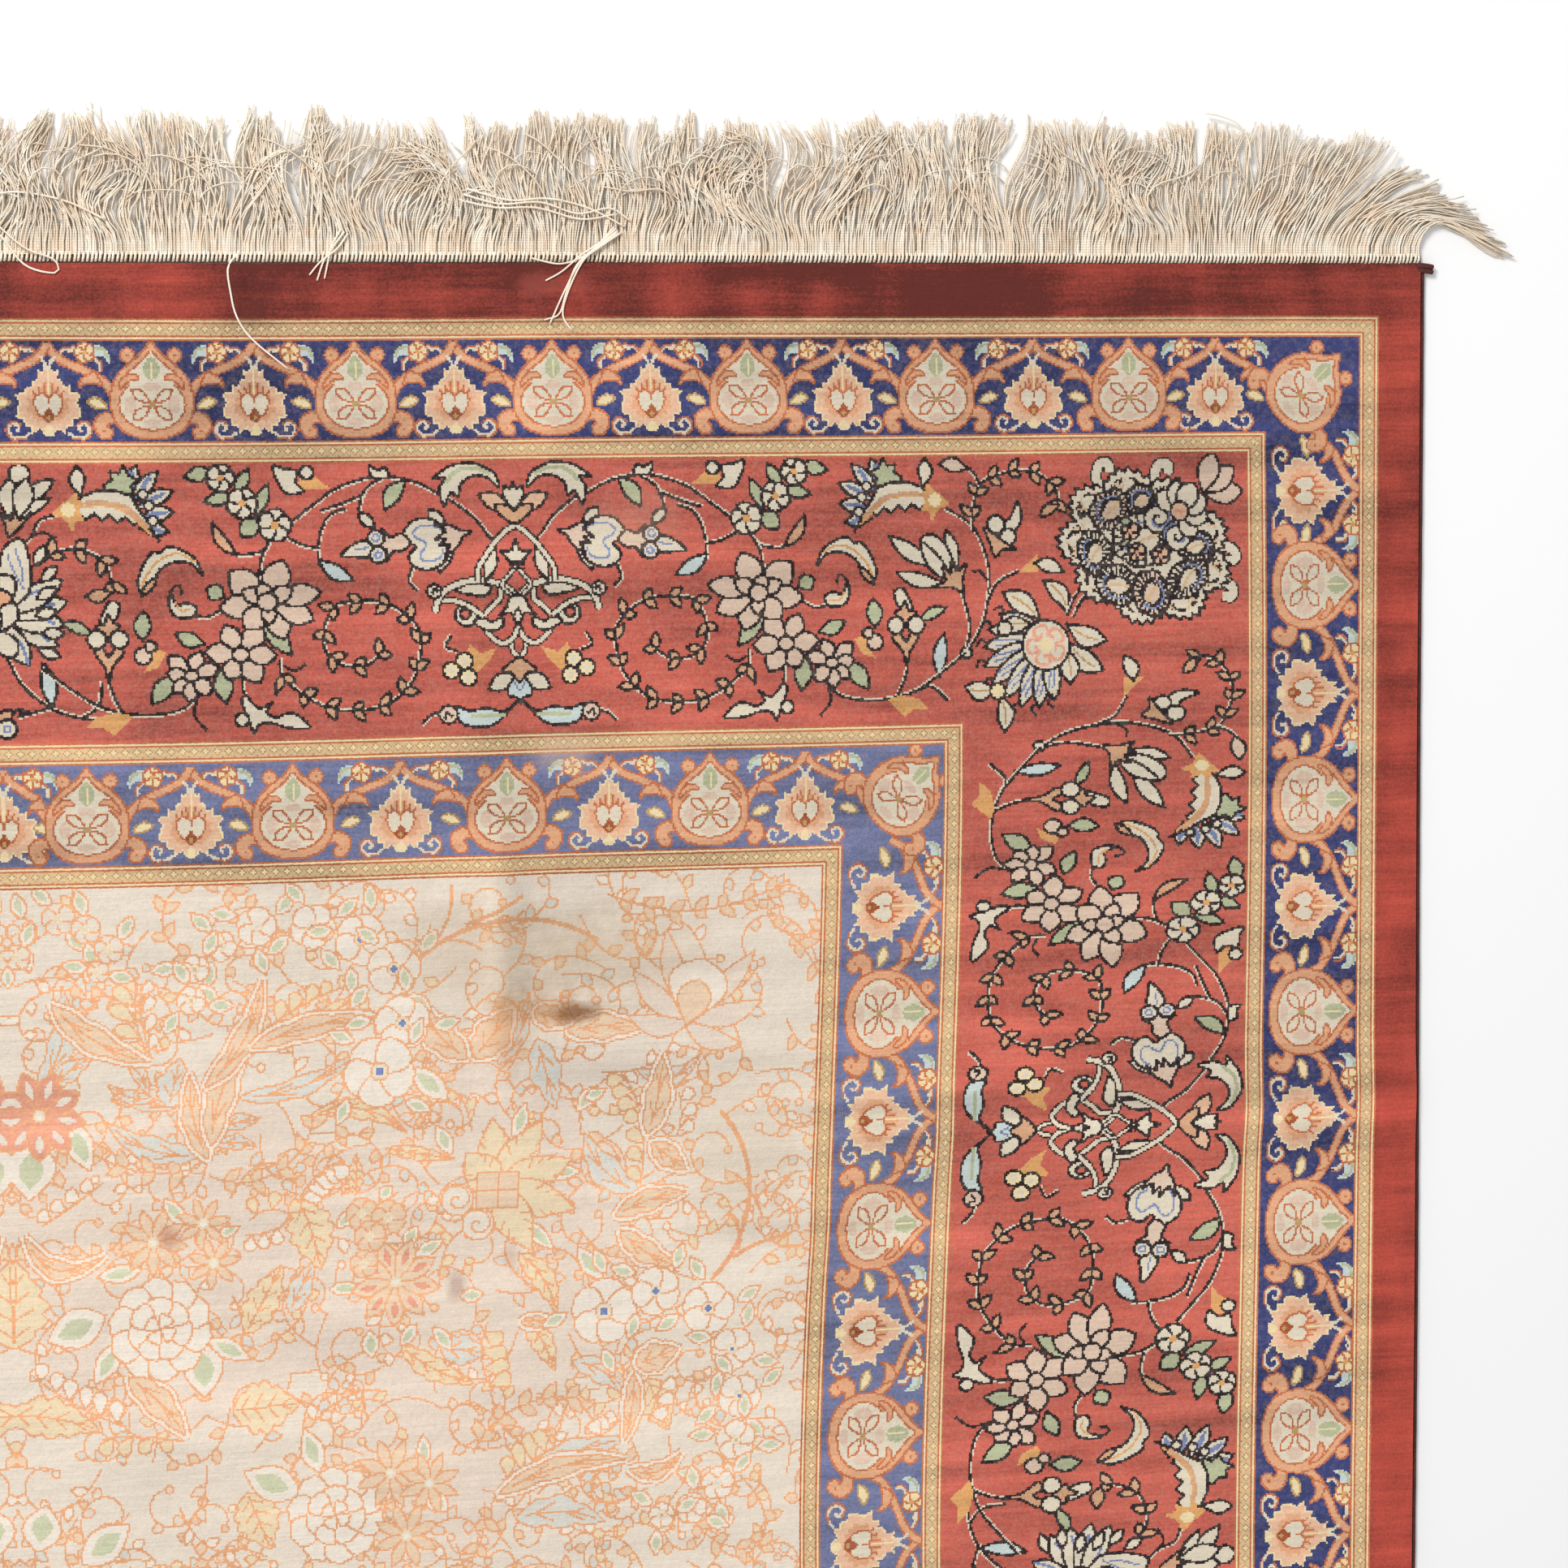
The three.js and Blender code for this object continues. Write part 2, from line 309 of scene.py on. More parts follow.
def curve(points, closed=False):
    """A smooth curve through the points."""
    p = np.asarray(points, float)
    if closed:
        p = np.vstack([p[-1], p, p[0], p[1]])
    else:
        p = np.vstack([2 * p[0] - p[1], p, 2 * p[-1] - p[-2]])
    t = np.linspace(0, 1, CURVE_STEPS, endpoint=False)[:, None]
    spans = []
    for k in range(len(p) - 3):
        a, b, c, d = p[k:k + 4]
        spans.append(0.5 * (2 * b + (c - a) * t + (2 * a - 5 * b + 4 * c - d) * t**2
                            + (3 * b - a - 3 * c + d) * t**3))
    if not closed:
        spans.append(p[-2][None])
    return np.vstack(spans)


class Pen:
    """Draws on the chart in its own frame: at a place, turned, mirrored and scaled."""

    def __init__(self, chart, x=0.0, y=0.0, turn=0.0, flip=False, scale=1.0, base=None):
        self.chart = chart
        across, along = scale if isinstance(scale, tuple) else (scale, scale)
        c, s = math.cos(math.radians(turn)), math.sin(math.radians(turn))
        local = np.array(((c, -s), (s, c))) @ np.diag((-across if flip else across, along))
        self.matrix = local if base is None else base.matrix @ local
        self.origin = np.array((x, y), float) if base is None else base.origin + base.matrix @ (x, y)

    def at(self, x=0.0, y=0.0, turn=0.0, flip=False, scale=1.0):
        return Pen(self.chart, x, y, turn, flip, scale, self)

    def both(self):
        """This pen and its mirror image."""
        return self, self.at(flip=True)

    def place(self, points):
        return np.asarray(points, float) @ self.matrix.T + self.origin

    def shape(self, points, dye, line=BLACK, smooth=True, width=1.0):
        """A closed shape filled with a dye, with a line round it."""
        outline = self.place(curve(points, True) if smooth else points)
        if dye is not None:
            self.chart.fill(outline, dye)
        if line is not None:
            self.chart.draw(np.vstack([outline, outline[:1]]), line, width)

    def halves(self, points, dye, line=BLACK):
        """A closed shape from its left or right half, given from top to bottom."""
        first = [point for point in points if abs(point[0]) > 1e-6]
        whole = list(points) + [(-x, y) for x, y in first[::-1]]
        self.shape(whole, dye, line)

    def line(self, points, dye, width=1.0, smooth=True):
        self.chart.draw(self.place(curve(points) if smooth else points), dye, width)

    def vine(self, points, dark=BLACK, light=IVORY):
        """A stem of two threads side by side."""
        path = self.place(curve(points))
        across = sideways(path)
        self.chart.draw(path + 0.5 * across, light)
        self.chart.draw(path - 0.5 * across, dark)

    def ribbon(self, points, dye=IVORY, width=2.0):
        """A band of one dye with a black line along both sides."""
        self.line(points, BLACK, width + 2)
        self.line(points, dye, width)

    def disc(self, x, y, radius, dye, line=BLACK, ratio=1.0):
        angle = np.linspace(0, TAU, 20, endpoint=False)
        outline = np.column_stack([x + radius * np.cos(angle), y + radius * ratio * np.sin(angle)])
        self.shape(outline, dye, line, False)

    def petal(self, length, width, dye, line=BLACK, fat=1.0, bend=0.0, blunt=1.0):
        """A leaf or petal from this pen's place, along its y. fat moves its belly towards the tip."""
        s = np.linspace(0, 1, 12)
        half = width / 2 * np.maximum(np.sin(math.pi * s**fat), 0)**blunt
        middle = bend * length * (s - s**2) * 2
        left = np.column_stack([middle - half, s * length])
        right = np.column_stack([middle + half, s * length])[::-1]
        self.shape(np.vstack([left, right[1:-1]]), dye, line, smooth=False)

    def leaf(self, start, end, width, dye, line=BLACK, bend=0.0, fat=1.0, vein=None):
        """A leaf from one place to another. It bulges to its left where bend is below 0."""
        run, rise = end[0] - start[0], end[1] - start[1]
        pen = self.at(*start, facing((run, rise)))
        length = math.hypot(run, rise)
        pen.petal(length, width, dye, line, fat, bend)
        if vein is not None:
            s = np.linspace(0.2, 0.8, 6)
            pen.line(np.column_stack([bend * length * (s - s**2) * 2, s * length]), vein, 1, smooth=False)


# --- motifs that come back ----------------------------------------------------

def flower(pen, radius, petals=5, dye=IVORY, core=GOLD, line=BLACK, blunt=0.45, fat=1.5):
    """Broad petals round a core."""
    for k in range(petals):
        pen.at(turn=12 + 360 * k / petals).petal(radius, radius * 5.2 / petals, dye, line, fat, 0, blunt)
    pen.disc(0, 0, max(1.4, radius * 0.24), core, line if radius > 14 else None)


def rosette(pen, petals, core, dye, inner=()):
    """An open flower from a list of its petals, each with its direction, length and width."""
    for turn, length, width in petals:
        pen.at(turn=turn).petal(length, width, dye, BLACK, 1.35, 0.03, 0.92)
    for turn, length, width in inner:
        pen.at(turn=turn).petal(length, width, dye, BLACK, 1.2, -0.03, 0.9)
    pen.disc(0, 0, core, dye, BLACK, 0.9)


def sprig(pen, points, spacing, size, leaf=SPRIG, line=BLACK):
    """A thin stem that carries pairs of small leaves."""
    path = curve(points)
    if line == BLACK:
        pen.vine(points)
    else:
        pen.line(points, line)
    total = distances(path)
    for k, far in enumerate(np.arange(0.6 * spacing, total[-1], spacing)):
        x, y = (np.interp(far, total, path[:, axis]) for axis in (0, 1))
        next_x, next_y = (np.interp(far + 0.5, total, path[:, axis]) for axis in (0, 1))
        turn = facing((next_x - x, next_y - y))
        for side in (-1, 1):
            lean = 44 + 10 * math.sin(1.7 * k + side)
            length = size * (1 + 0.14 * math.sin(2.3 * k + 2 * side))
            pen.at(x, y, turn + side * lean).petal(length, size * 0.56, leaf, line, 0.9, 0.12 * side)


# --- blue guards: lengths from the flower in the middle of a medallion ----------

def guard_medallion(pen, roundness=0.78):
    """An onion-shaped medallion. y points to the rug's edge."""
    for arm in pen.both():
        arm.shape(((12, -12), (17, -6.5), (22, -4.6), (27, -5), (30.6, -9), (30, -14), (26.5, -18),
                   (22.4, -17.6), (21.2, -13.6), (23.6, -11.4), (20, -10), (14, -15)), PEACH, ORANGE)
        arm.disc(25.6, -14, 0.8, ORANGE, None)
        arm.line(((9, 22), (12, 26)), PEACH, 2)
        arm.disc(12.4, 26, 3.7, PEACH, ORANGE)
        arm.disc(12.4, 26, 0.8, ORANGE, None)
    pen.halves(((0, 33.5), (3, 29.4), (6.4, 26), (12, 21.6), (17.4, 16.4), (20.8, 9.4), (22, 2), (20.8, -6),
                (16.6, -13), (9.4, -17), (0, -18.4)), PEACH, ORANGE)
    pen.disc(0, 0, 17.6 if roundness < 0.8 else 16.4, IVORY, ORANGE, roundness)
    pen.halves(((0, 28.4), (3.4, 24.2), (7.6, 20.4), (12, 16.6), (10.6, 9), (0, 8)), IVORY, None)
    for arm in pen.both():
        arm.line(((0.8, 28), (4, 24), (8, 20.4), (13.4, 16.4)), ORANGE)
        arm.shape(((17.4, 8), (16.4, 12.6), (13, 15.6), (9, 16), (6.6, 13.6), (9.6, 12.8), (12, 12.4),
                   (14.6, 10)), PEACH, ORANGE)
        arm.disc(11.6, 0, 3.2, PINK, None, 1.5)
        for turn, length in ((-53, 13.4), (-127, 12.6)):
            spread = 0.5 + roundness / 2 if roundness > 0.8 else 1
            arm.at(turn=turn * spread).petal(length, 5.4, IVORY, ORANGE, 1.5)
    for y in (9.4, -10):
        pen.disc(0, y, 4.6, PINK, None, 0.5)
    pen.at(0, 12.6).petal(12.8, 8.4, SAGE, None, 0.9, 0, 0.6)
    pen.line(((0, 14), (0, 22)), YELLOW, 1)
    pen.disc(0, 0, 1.9, OLIVE, None)


def guard_palmette(pen, reach):
    """A jagged palmette with its vines, up to the medallions at reach on both sides."""
    share = reach / 54
    for arm in pen.both():
        arm.line(((11 * share, 28), (19.5 * share, 30), (30 * share, 27)), YELLOW, 1.4)
        arm.line(((5 * share, 26), (9 * share, 29), (14 * share, 29.6)), IVORY, 1.5)
        arm.line(((5 * share, 27), (8.6 * share, 30), (14 * share, 30.6)), ORANGE, 1)
        ring = reach - 21
        vine = ((0, 31.8), (3, 27), (8, 23), (16 * share, 19.4), (22 * share, 16.6), (ring - 3, 11),
                (ring + 1, 4))
        arm.line(vine, ORANGE, 5)
        arm.line(vine, PEACH, 3)
        arm.shape(((25 * share, 16.6), (20 * share, 15.6), (17 * share, 12.6), (16.4 * share, 8.6),
                   (19 * share, 11), (24 * share, 11.4), (28 * share, 10)), PEACH, ORANGE)
        middle = 19.5 * share
        arm.shape(((middle + 2, 27), (middle + 5, 31), (middle + 10, 30.4), (middle + 13, 26),
                   (middle + 12.4, 21.6), (middle + 10, 25), (middle + 6, 25.4)), AQUA, None)
        arm.line(((middle + 5, 30), (middle + 10, 29), (middle + 12, 25)), SAGE, 1.6)
        arm.line(((middle + 4, 24.6), (middle + 7.4, 22), (middle + 7.6, 18.4)), IVORY, 1.8)
        arm.line(((middle + 5, 25.4), (middle + 8.8, 22), (middle + 8.8, 18.4)), ORANGE, 1)
        flower(arm.at(middle, 27.4), 5.4, 5, YELLOW, GOLD, ORANGE)
        arm.shape(((24 * share - 4, 1.6), (24 * share, 3.6), (24 * share + 4, 2), (24 * share + 6, -1.6),
                   (24 * share, -1.4)), YELLOW, OLIVE)
        arm.line(((10, -15), (14, -17.6), (19, -17), (21, -13), (18.6, -10), (15.6, -11.6),
                  (16.6, -13.8)), IVORY, 1.5)
        arm.line(((12, -17.6), (19, -18.4), (22.4, -13.4), (19, -8.8), (14.4, -10.6)), ORANGE, 1)
    pen.shape(PALMETTE_OUTLINE, YELLOW, None, smooth=False)
    pen.shape([(x * 0.93, y * 0.93) for x, y in PALMETTE_OUTLINE], LIGHT_PEACH, None, smooth=False)
    pen.shape([(x * 0.66, y * 0.62) for x, y in PALMETTE_OUTLINE], PEACH, None, smooth=False)
    for arm in pen.both():
        arm.line(((0.8, 19), (1.6, 22), (3.6, 25)), IVORY, 1.6)
        for k in range(3):
            arm.line(((1.8 + 2.2 * k, 6.4 - 1.2 * k), (2.2 + 2.8 * k, 10.6 - 1.9 * k)), ORANGE, 1,
                     smooth=False)
    pen.line(((0, 6), (0, 18)), YELLOW, 1, smooth=False)
    pen.halves(((0, 4.2), (3.4, 6), (6.8, 4), (7.4, 0), (4.6, -5.6), (0, -6.6)), IVORY, ORANGE)
    pen.line(((0, 1), (0, 4)), ORANGE, 1, smooth=False)
    pen.halves(((0, -1.6), (2, -4), (3.2, -6.4), (1.6, -8.8), (0, -9)), BROWN, None)
    pen.disc(0, -7, 1.2, OLIVE, None)
    pen.halves(((0, -10.6), (2.4, -13), (1, -16), (0, -16)), YELLOW, None)


PALMETTE_HALF = ((1.6, 20.6), (3, 17), (5.4, 18.6), (5.2, 14), (8, 12), (8.6, 9), (11.6, 10.2), (12, 6.4),
                 (17.6, 5.8), (15, 1.4), (16.6, -2.4), (16.8, -6.8), (13, -7.6), (12.4, -11.4),
                 (9.4, -11.4), (8.8, -15.4), (4.6, -12.6), (2.4, -16))
PALMETTE_OUTLINE = PALMETTE_HALF + tuple((-x, y) for x, y in PALMETTE_HALF[::-1])


def draw_guard(chart, band, ground, across_places, along_places, corner, end_line, side_line):
    """One blue guard: medallions at the given places along the end and the side, palmettes between.

    A place below 0 only sets where the first palmette stands."""
    chart.clip(band)
    chart.paint(*np.nonzero(chart.band == band), ground)
    for places, pen_at in (
        (across_places + (corner[0],), lambda s: Pen(chart, s, end_line)),
        (along_places + (corner[1],), lambda s: Pen(chart, side_line, s, -90, False, SIDE_GUARD_SCALE)),
    ):
        stretch = SIDE_GUARD_SCALE[0] if places[-1] == corner[1] else 1
        for low, high in zip(places[:-1], places[1:]):
            guard_palmette(pen_at((low + high) / 2), (high - low) / 2 / stretch)
        for place in places[:-1]:
            if place >= 0:
                guard_medallion(pen_at(place))
    guard_medallion(Pen(chart, *corner, -45), 0.9)


# --- minor stripes -----------------------------------------------------------

CHAIN = (  # a small repeat of the tan stripe: T tan, O olive, Y yellow
    "TTTOTT",
    "TTOYOT",
    "TOYYYO",
    "TTOYOT",
    "TTTOTT",
    "OTTTTT",
)


def draw_stripe(chart, band):
    """A minor stripe: the chain between two yellow lines with orange edges."""
    here = chart.band == band
    depth = chart.depth
    rows, columns = np.nonzero(here)
    run = np.where(chart.runs_along_end, np.arange(HALF_WIDTH)[None, :], np.arange(HALF_LENGTH)[:, None])
    letters = np.array([[{"T": TAN, "O": OLIVE, "Y": YELLOW}[letter] for letter in row] for row in CHAIN])
    dyes = np.array((ORANGE, YELLOW, ORANGE, 0, 0, 0, 0, 0, 0, ORANGE, YELLOW, ORANGE))[depth[here]]
    in_chain = (depth[here] >= 3) & (depth[here] <= 8)
    dyes[in_chain] = letters[depth[here][in_chain] - 3, run[here][in_chain] % 6]
    chart.knots[rows, columns] = dyes


# --- main border: x along the border from a cartouche, y out from the border's middle line. The corner
# palmette and the fan palmette have places in knots from the rug's middle. ----

def heart_bud(pen):
    """A heart-shaped bloom in its calyx. y points from the stem to the bloom."""
    pen.leaf((6, 11), (17, 23), 6, IVORY, BLACK, -0.12)
    pen.leaf((-6, 11), (-17, 19), 7, IVORY, BLACK, 0.1, 1.3)
    pen.shape(((0, 15), (-8, 15), (-13, 21), (-13.5, 29), (-9, 35), (-4, 36), (0, 31), (4, 36), (10, 35),
               (14, 28), (13, 20), (8, 15)), IVORY)
    pen.line(((-6, 16), (-9.6, 22), (-9, 29), (-5, 30), (0, 25), (5, 30), (9, 28), (9.6, 21), (6, 17)),
             STEEL)
    pen.shape(((0, 0), (-2, 5), (-6, 10), (-9, 18), (-4, 13), (-1, 20), (0, 14), (3, 19), (4, 13),
               (9, 17), (6, 9), (2, 5)), PINK)


def twin_bud(pen):
    """Two small round buds and a tip in a pink calyx."""
    pen.shape(((0, 20), (-4, 24), (-3, 30), (2, 38), (4, 30), (5, 24)), IVORY)
    pen.line(((0, 23), (0, 30)), STEEL)
    pen.shape(((0, 0), (-5, 4), (-4, 10), (-9, 14), (-3, 13), (0, 17), (3, 13), (9, 14), (4, 10), (4, 4)),
              PINK)
    for arm in pen.both():
        arm.disc(4.6, 18, 4.4, IVORY)
        arm.disc(4.6, 18, 1.8, None, STEEL)


def berry_bud(pen):
    """White berries in a tan calyx, with a pale leaf above."""
    pen.leaf((8, 26), (24, 33), 6, SAGE, BLACK, -0.12)
    pen.shape(((0, 0), (-2, 9), (-8, 17), (-4, 20), (0, 15), (4, 21), (7, 17), (2, 9)), SPRIG)
    pen.shape(((0, 31), (-5, 36), (-6, 43), (-1, 44), (2, 39), (4, 33)), IVORY)
    pen.shape(((0, 25), (-6, 31), (-3, 33), (0, 37), (2, 32), (6, 31), (3, 26)), SPRIG)
    pen.disc(-5.6, 24, 4.8, IVORY)
    pen.disc(5.8, 24, 5, IVORY)


def trefoil(pen):
    """A small three-part bud in a spiky calyx."""
    pen.shape(((3, 17), (9, 19), (14, 28), (16, 20), (13, 13), (6, 12)), IVORY)
    pen.disc(1, 16, 5, IVORY)
    pen.disc(8, 9, 4.6, IVORY)
    pen.shape(((0, -2), (-3, 6), (-6, 14), (-1, 11), (2, 9), (6, 6), (12, 2), (5, 2)), SPRIG)


def lily(pen):
    """A half-open lily. y points from its stem to its mouth."""
    pen.leaf((-2, 20), (-15, 51), 9, IVORY, BLACK, -0.1, 1.2)
    pen.leaf((-4, 10), (-24, 33), 8, IVORY, BLACK, -0.12, 1.2)
    pen.leaf((5, 12), (13, 34), 7, IVORY, BLACK, 0.06, 1.3)
    pen.shape(((0, 10), (-6, 17), (-7, 27), (-3, 37), (1, 39), (6, 36), (8, 27), (5, 16)), IVORY)
    pen.line(((0, 14), (1, 24), (-1, 36)), BLACK)
    pen.shape(((0, 0), (-3, 6), (-11, 13), (-4, 12), (-1, 19), (1, 13), (4, 18), (5, 12), (11, 12),
               (4, 6)), SPRIG)


def thistle(pen):
    """A long feathered calyx with a fringe of blue petals. y points from its stem to the fringe."""
    for x, y, tip_x, tip_y, wide in ((8, 36, 25, 41, 8), (5, 38, 22, 52, 8), (2, 40, 12, 60, 8),
                                     (-3, 42, 1, 60, 8), (-8, 42, -10, 57, 7)):
        pen.leaf((x, y), (tip_x, tip_y), wide, IVORY, BLACK, 0.06, 1.2, STEEL)
        pen.leaf((x + 2, y + 3), (tip_x - 1, tip_y - 3), 3, STEEL, None, 0.06)
    for x, y in ((10, 44), (4, 47), (-4, 49)):
        pen.disc(x, y, 2.6, IVORY)
    pen.shape(((9, 25), (15, 24), (18, 28), (22, 27), (21, 32), (26, 34), (20, 37), (18, 41), (14, 38),
               (10, 40)), SAGE, BLACK, False)
    pen.leaf((8, 12), (25, 10), 8, IVORY, BLACK, 0.1, 1.4)
    edge = [(0.5 - 0.26 * k - 0.0075 * k * k * k / 2 - (3.6 if k % 2 else 0), 10 + 4.1 * k)
            for k in range(10)]
    pen.shape([(3, 8), (9, 12), (12, 20), (12, 30), (9, 38), (3, 41), (-4, 46), (-15, 52)] + edge[::-1],
              IVORY, BLACK, False)
    pen.line(((5, 14), (5, 26), (2, 36), (-8, 46)), SPRIG, 3)
    pen.line(((4, 12), (4, 26), (0, 36), (-11, 48)), GOLD, 1.4)
    pen.shape(((0, -3), (-3, 3), (-9, 7), (-4, 9), (-4, 13), (2, 11), (6, 14), (7, 10), (11, 9), (6, 3)),
              GOLD, None)
    pen.disc(2, 5, 3.6, YELLOW, None)


def hooked_leaf(pen):
    """The curled leaf under a thistle, with a hook on each side."""
    pen.shape(((0, 0), (-4, 3), (-10, 2), (-18, -3), (-22, -12), (-16, -6), (-8, -5), (0, -9), (4, -16),
               (9, -22), (12, -16), (9, -7), (4, 0)), IVORY)
    pen.line(((-18, -5), (-10, -1), (-2, -3), (5, -9), (10, -18)), GOLD, 1.4)
    pen.leaf((2, -13), (10, -23), 4, SPRIG)


def acanthus(pen):
    """A forked leaf that arches from its stem."""
    pen.shape(((0, 0), (1, 6), (6, 10), (14, 13), (24, 12), (30, 9), (35, 5), (29, 5), (32, -1),
               (30, -10), (26, -3), (22, -5), (20, 2), (13, 6), (6, 5)), IVORY)
    pen.line(((4, 7), (12, 10), (22, 9), (28, 3)), SAGE, 2)


def blossom(pen):
    """Three white berries in a spot of gold without an outline."""
    pen.shape(((-20, 12), (-11, 9), (-5, 14), (-3, 7), (2, 4), (-2, -1), (-7, -8), (-10, 0), (-15, 4)),
              GOLD, None, False)
    for x, y in ((-2, 5), (5, 0), (-4, -4)):
        pen.disc(x, y, 4.6, YELLOW)
        pen.disc(x, y, 2, IVORY, None)


def cartouche(pen):
    """The arabesque frame in the middle of a unit."""
    for arm in pen.both():
        arm.ribbon(((4, -23), (3.4, -29), (0, -33)), IVORY, 1.6)
        arm.ribbon(((20, -12), (16, -20), (9, -25), (3, -22), (0, -16)))
        arm.ribbon(((9, 7), (9, 0), (13, -4), (18, -9)), IVORY, 2.4)
        arm.disc(28, -9, 6.2, IVORY)
        arm.disc(28.6, -8.6, 2.8, SALMON)
        arm.shape(((24, -13), (19, -11), (14, -13), (9, -11), (8, -15), (13, -18), (19, -17)), IVORY)
        arm.ribbon(((45, -2), (36, -1), (27, -4), (19, -10)))
        arm.shape(((14, 6), (18, 1), (26, 2), (33, 4), (26, 8)), IVORY)
        arm.ribbon(((0, -1), (4, 4), (10, 7.4), (18, 9.6), (27, 9), (36, 6), (42, 1), (45, -7)), IVORY, 2.6)
        arm.ribbon(((0, 17), (4, 12), (8, 7), (4, 2), (0, -2)), IVORY, 1.2)
        arm.disc(45, 4, 3.8, IVORY)
        arm.line(((43, 4), (45, 5.4), (46, 3)), BLACK)
        arm.leaf((12, 29), (17, 9), 7, IVORY, BLACK, 0.06)
        arm.ribbon(((0, 39), (5, 36), (11, 30), (17, 22), (21, 15), (21.4, 9)))
    pen.halves(((0, 1), (4.4, -0.6), (6, -5), (10, -10), (4, -8.6), (0, -15)), IVORY)
    pen.line(((-1.6, -9), (0, -6), (1.6, -9)), BLACK)
    pen.halves(((0, 31), (2.6, 25.4), (8, 25), (4.4, 20.6), (2.6, 19), (0, 19)), IVORY)
    for y in (18, 15.6):
        pen.line(((-4, y), (4, y)), BLACK, 1, smooth=False)
    for arm in pen.both():
        arm.leaf((2, 48), (19, 56), 9, LIGHT_PEACH)
        arm.leaf((3, -42), (17, -50), 9, IVORY)
    pen.halves(((0, 62), (2, 58.6), (4.6, 60.6), (5, 54), (0, 48)), IVORY)
    pen.halves(((0, 47), (4, 50), (10, 50), (8, 45), (0, 40)), SPRIG)
    pen.halves(((0, -43), (5.4, -47), (6.4, -53), (2, -54.6), (0, -58)), AQUA)
    pen.line(((-2.6, -47), (0, -51), (2.6, -47)), STEEL)
    pen.halves(((0, -33), (4, -35), (9.6, -40), (5, -41), (0, -46)), SPRIG)


ROSETTE_A = ((22, 24, 15), (-50, 26, 16), (-97, 26, 13), (-138, 19, 13), (156, 22, 13), (113, 26, 13),
             (80, 29, 12))
ROSETTE_A_INNER = ((60, 15, 9), (-66, 15, 9), (-20, 11, 8), (176, 12, 8))
ROSETTE_B = ((39, 19, 12), (-27, 18, 11), (-84, 19, 11), (-150, 15, 11), (146, 18, 12), (93, 19, 11))
ROSETTE_C = ((21, 14, 8.5), (-47, 16, 9), (-84, 13, 8), (-132, 13, 8), (186, 14, 8), (136, 14, 9),
             (72, 15, 8))


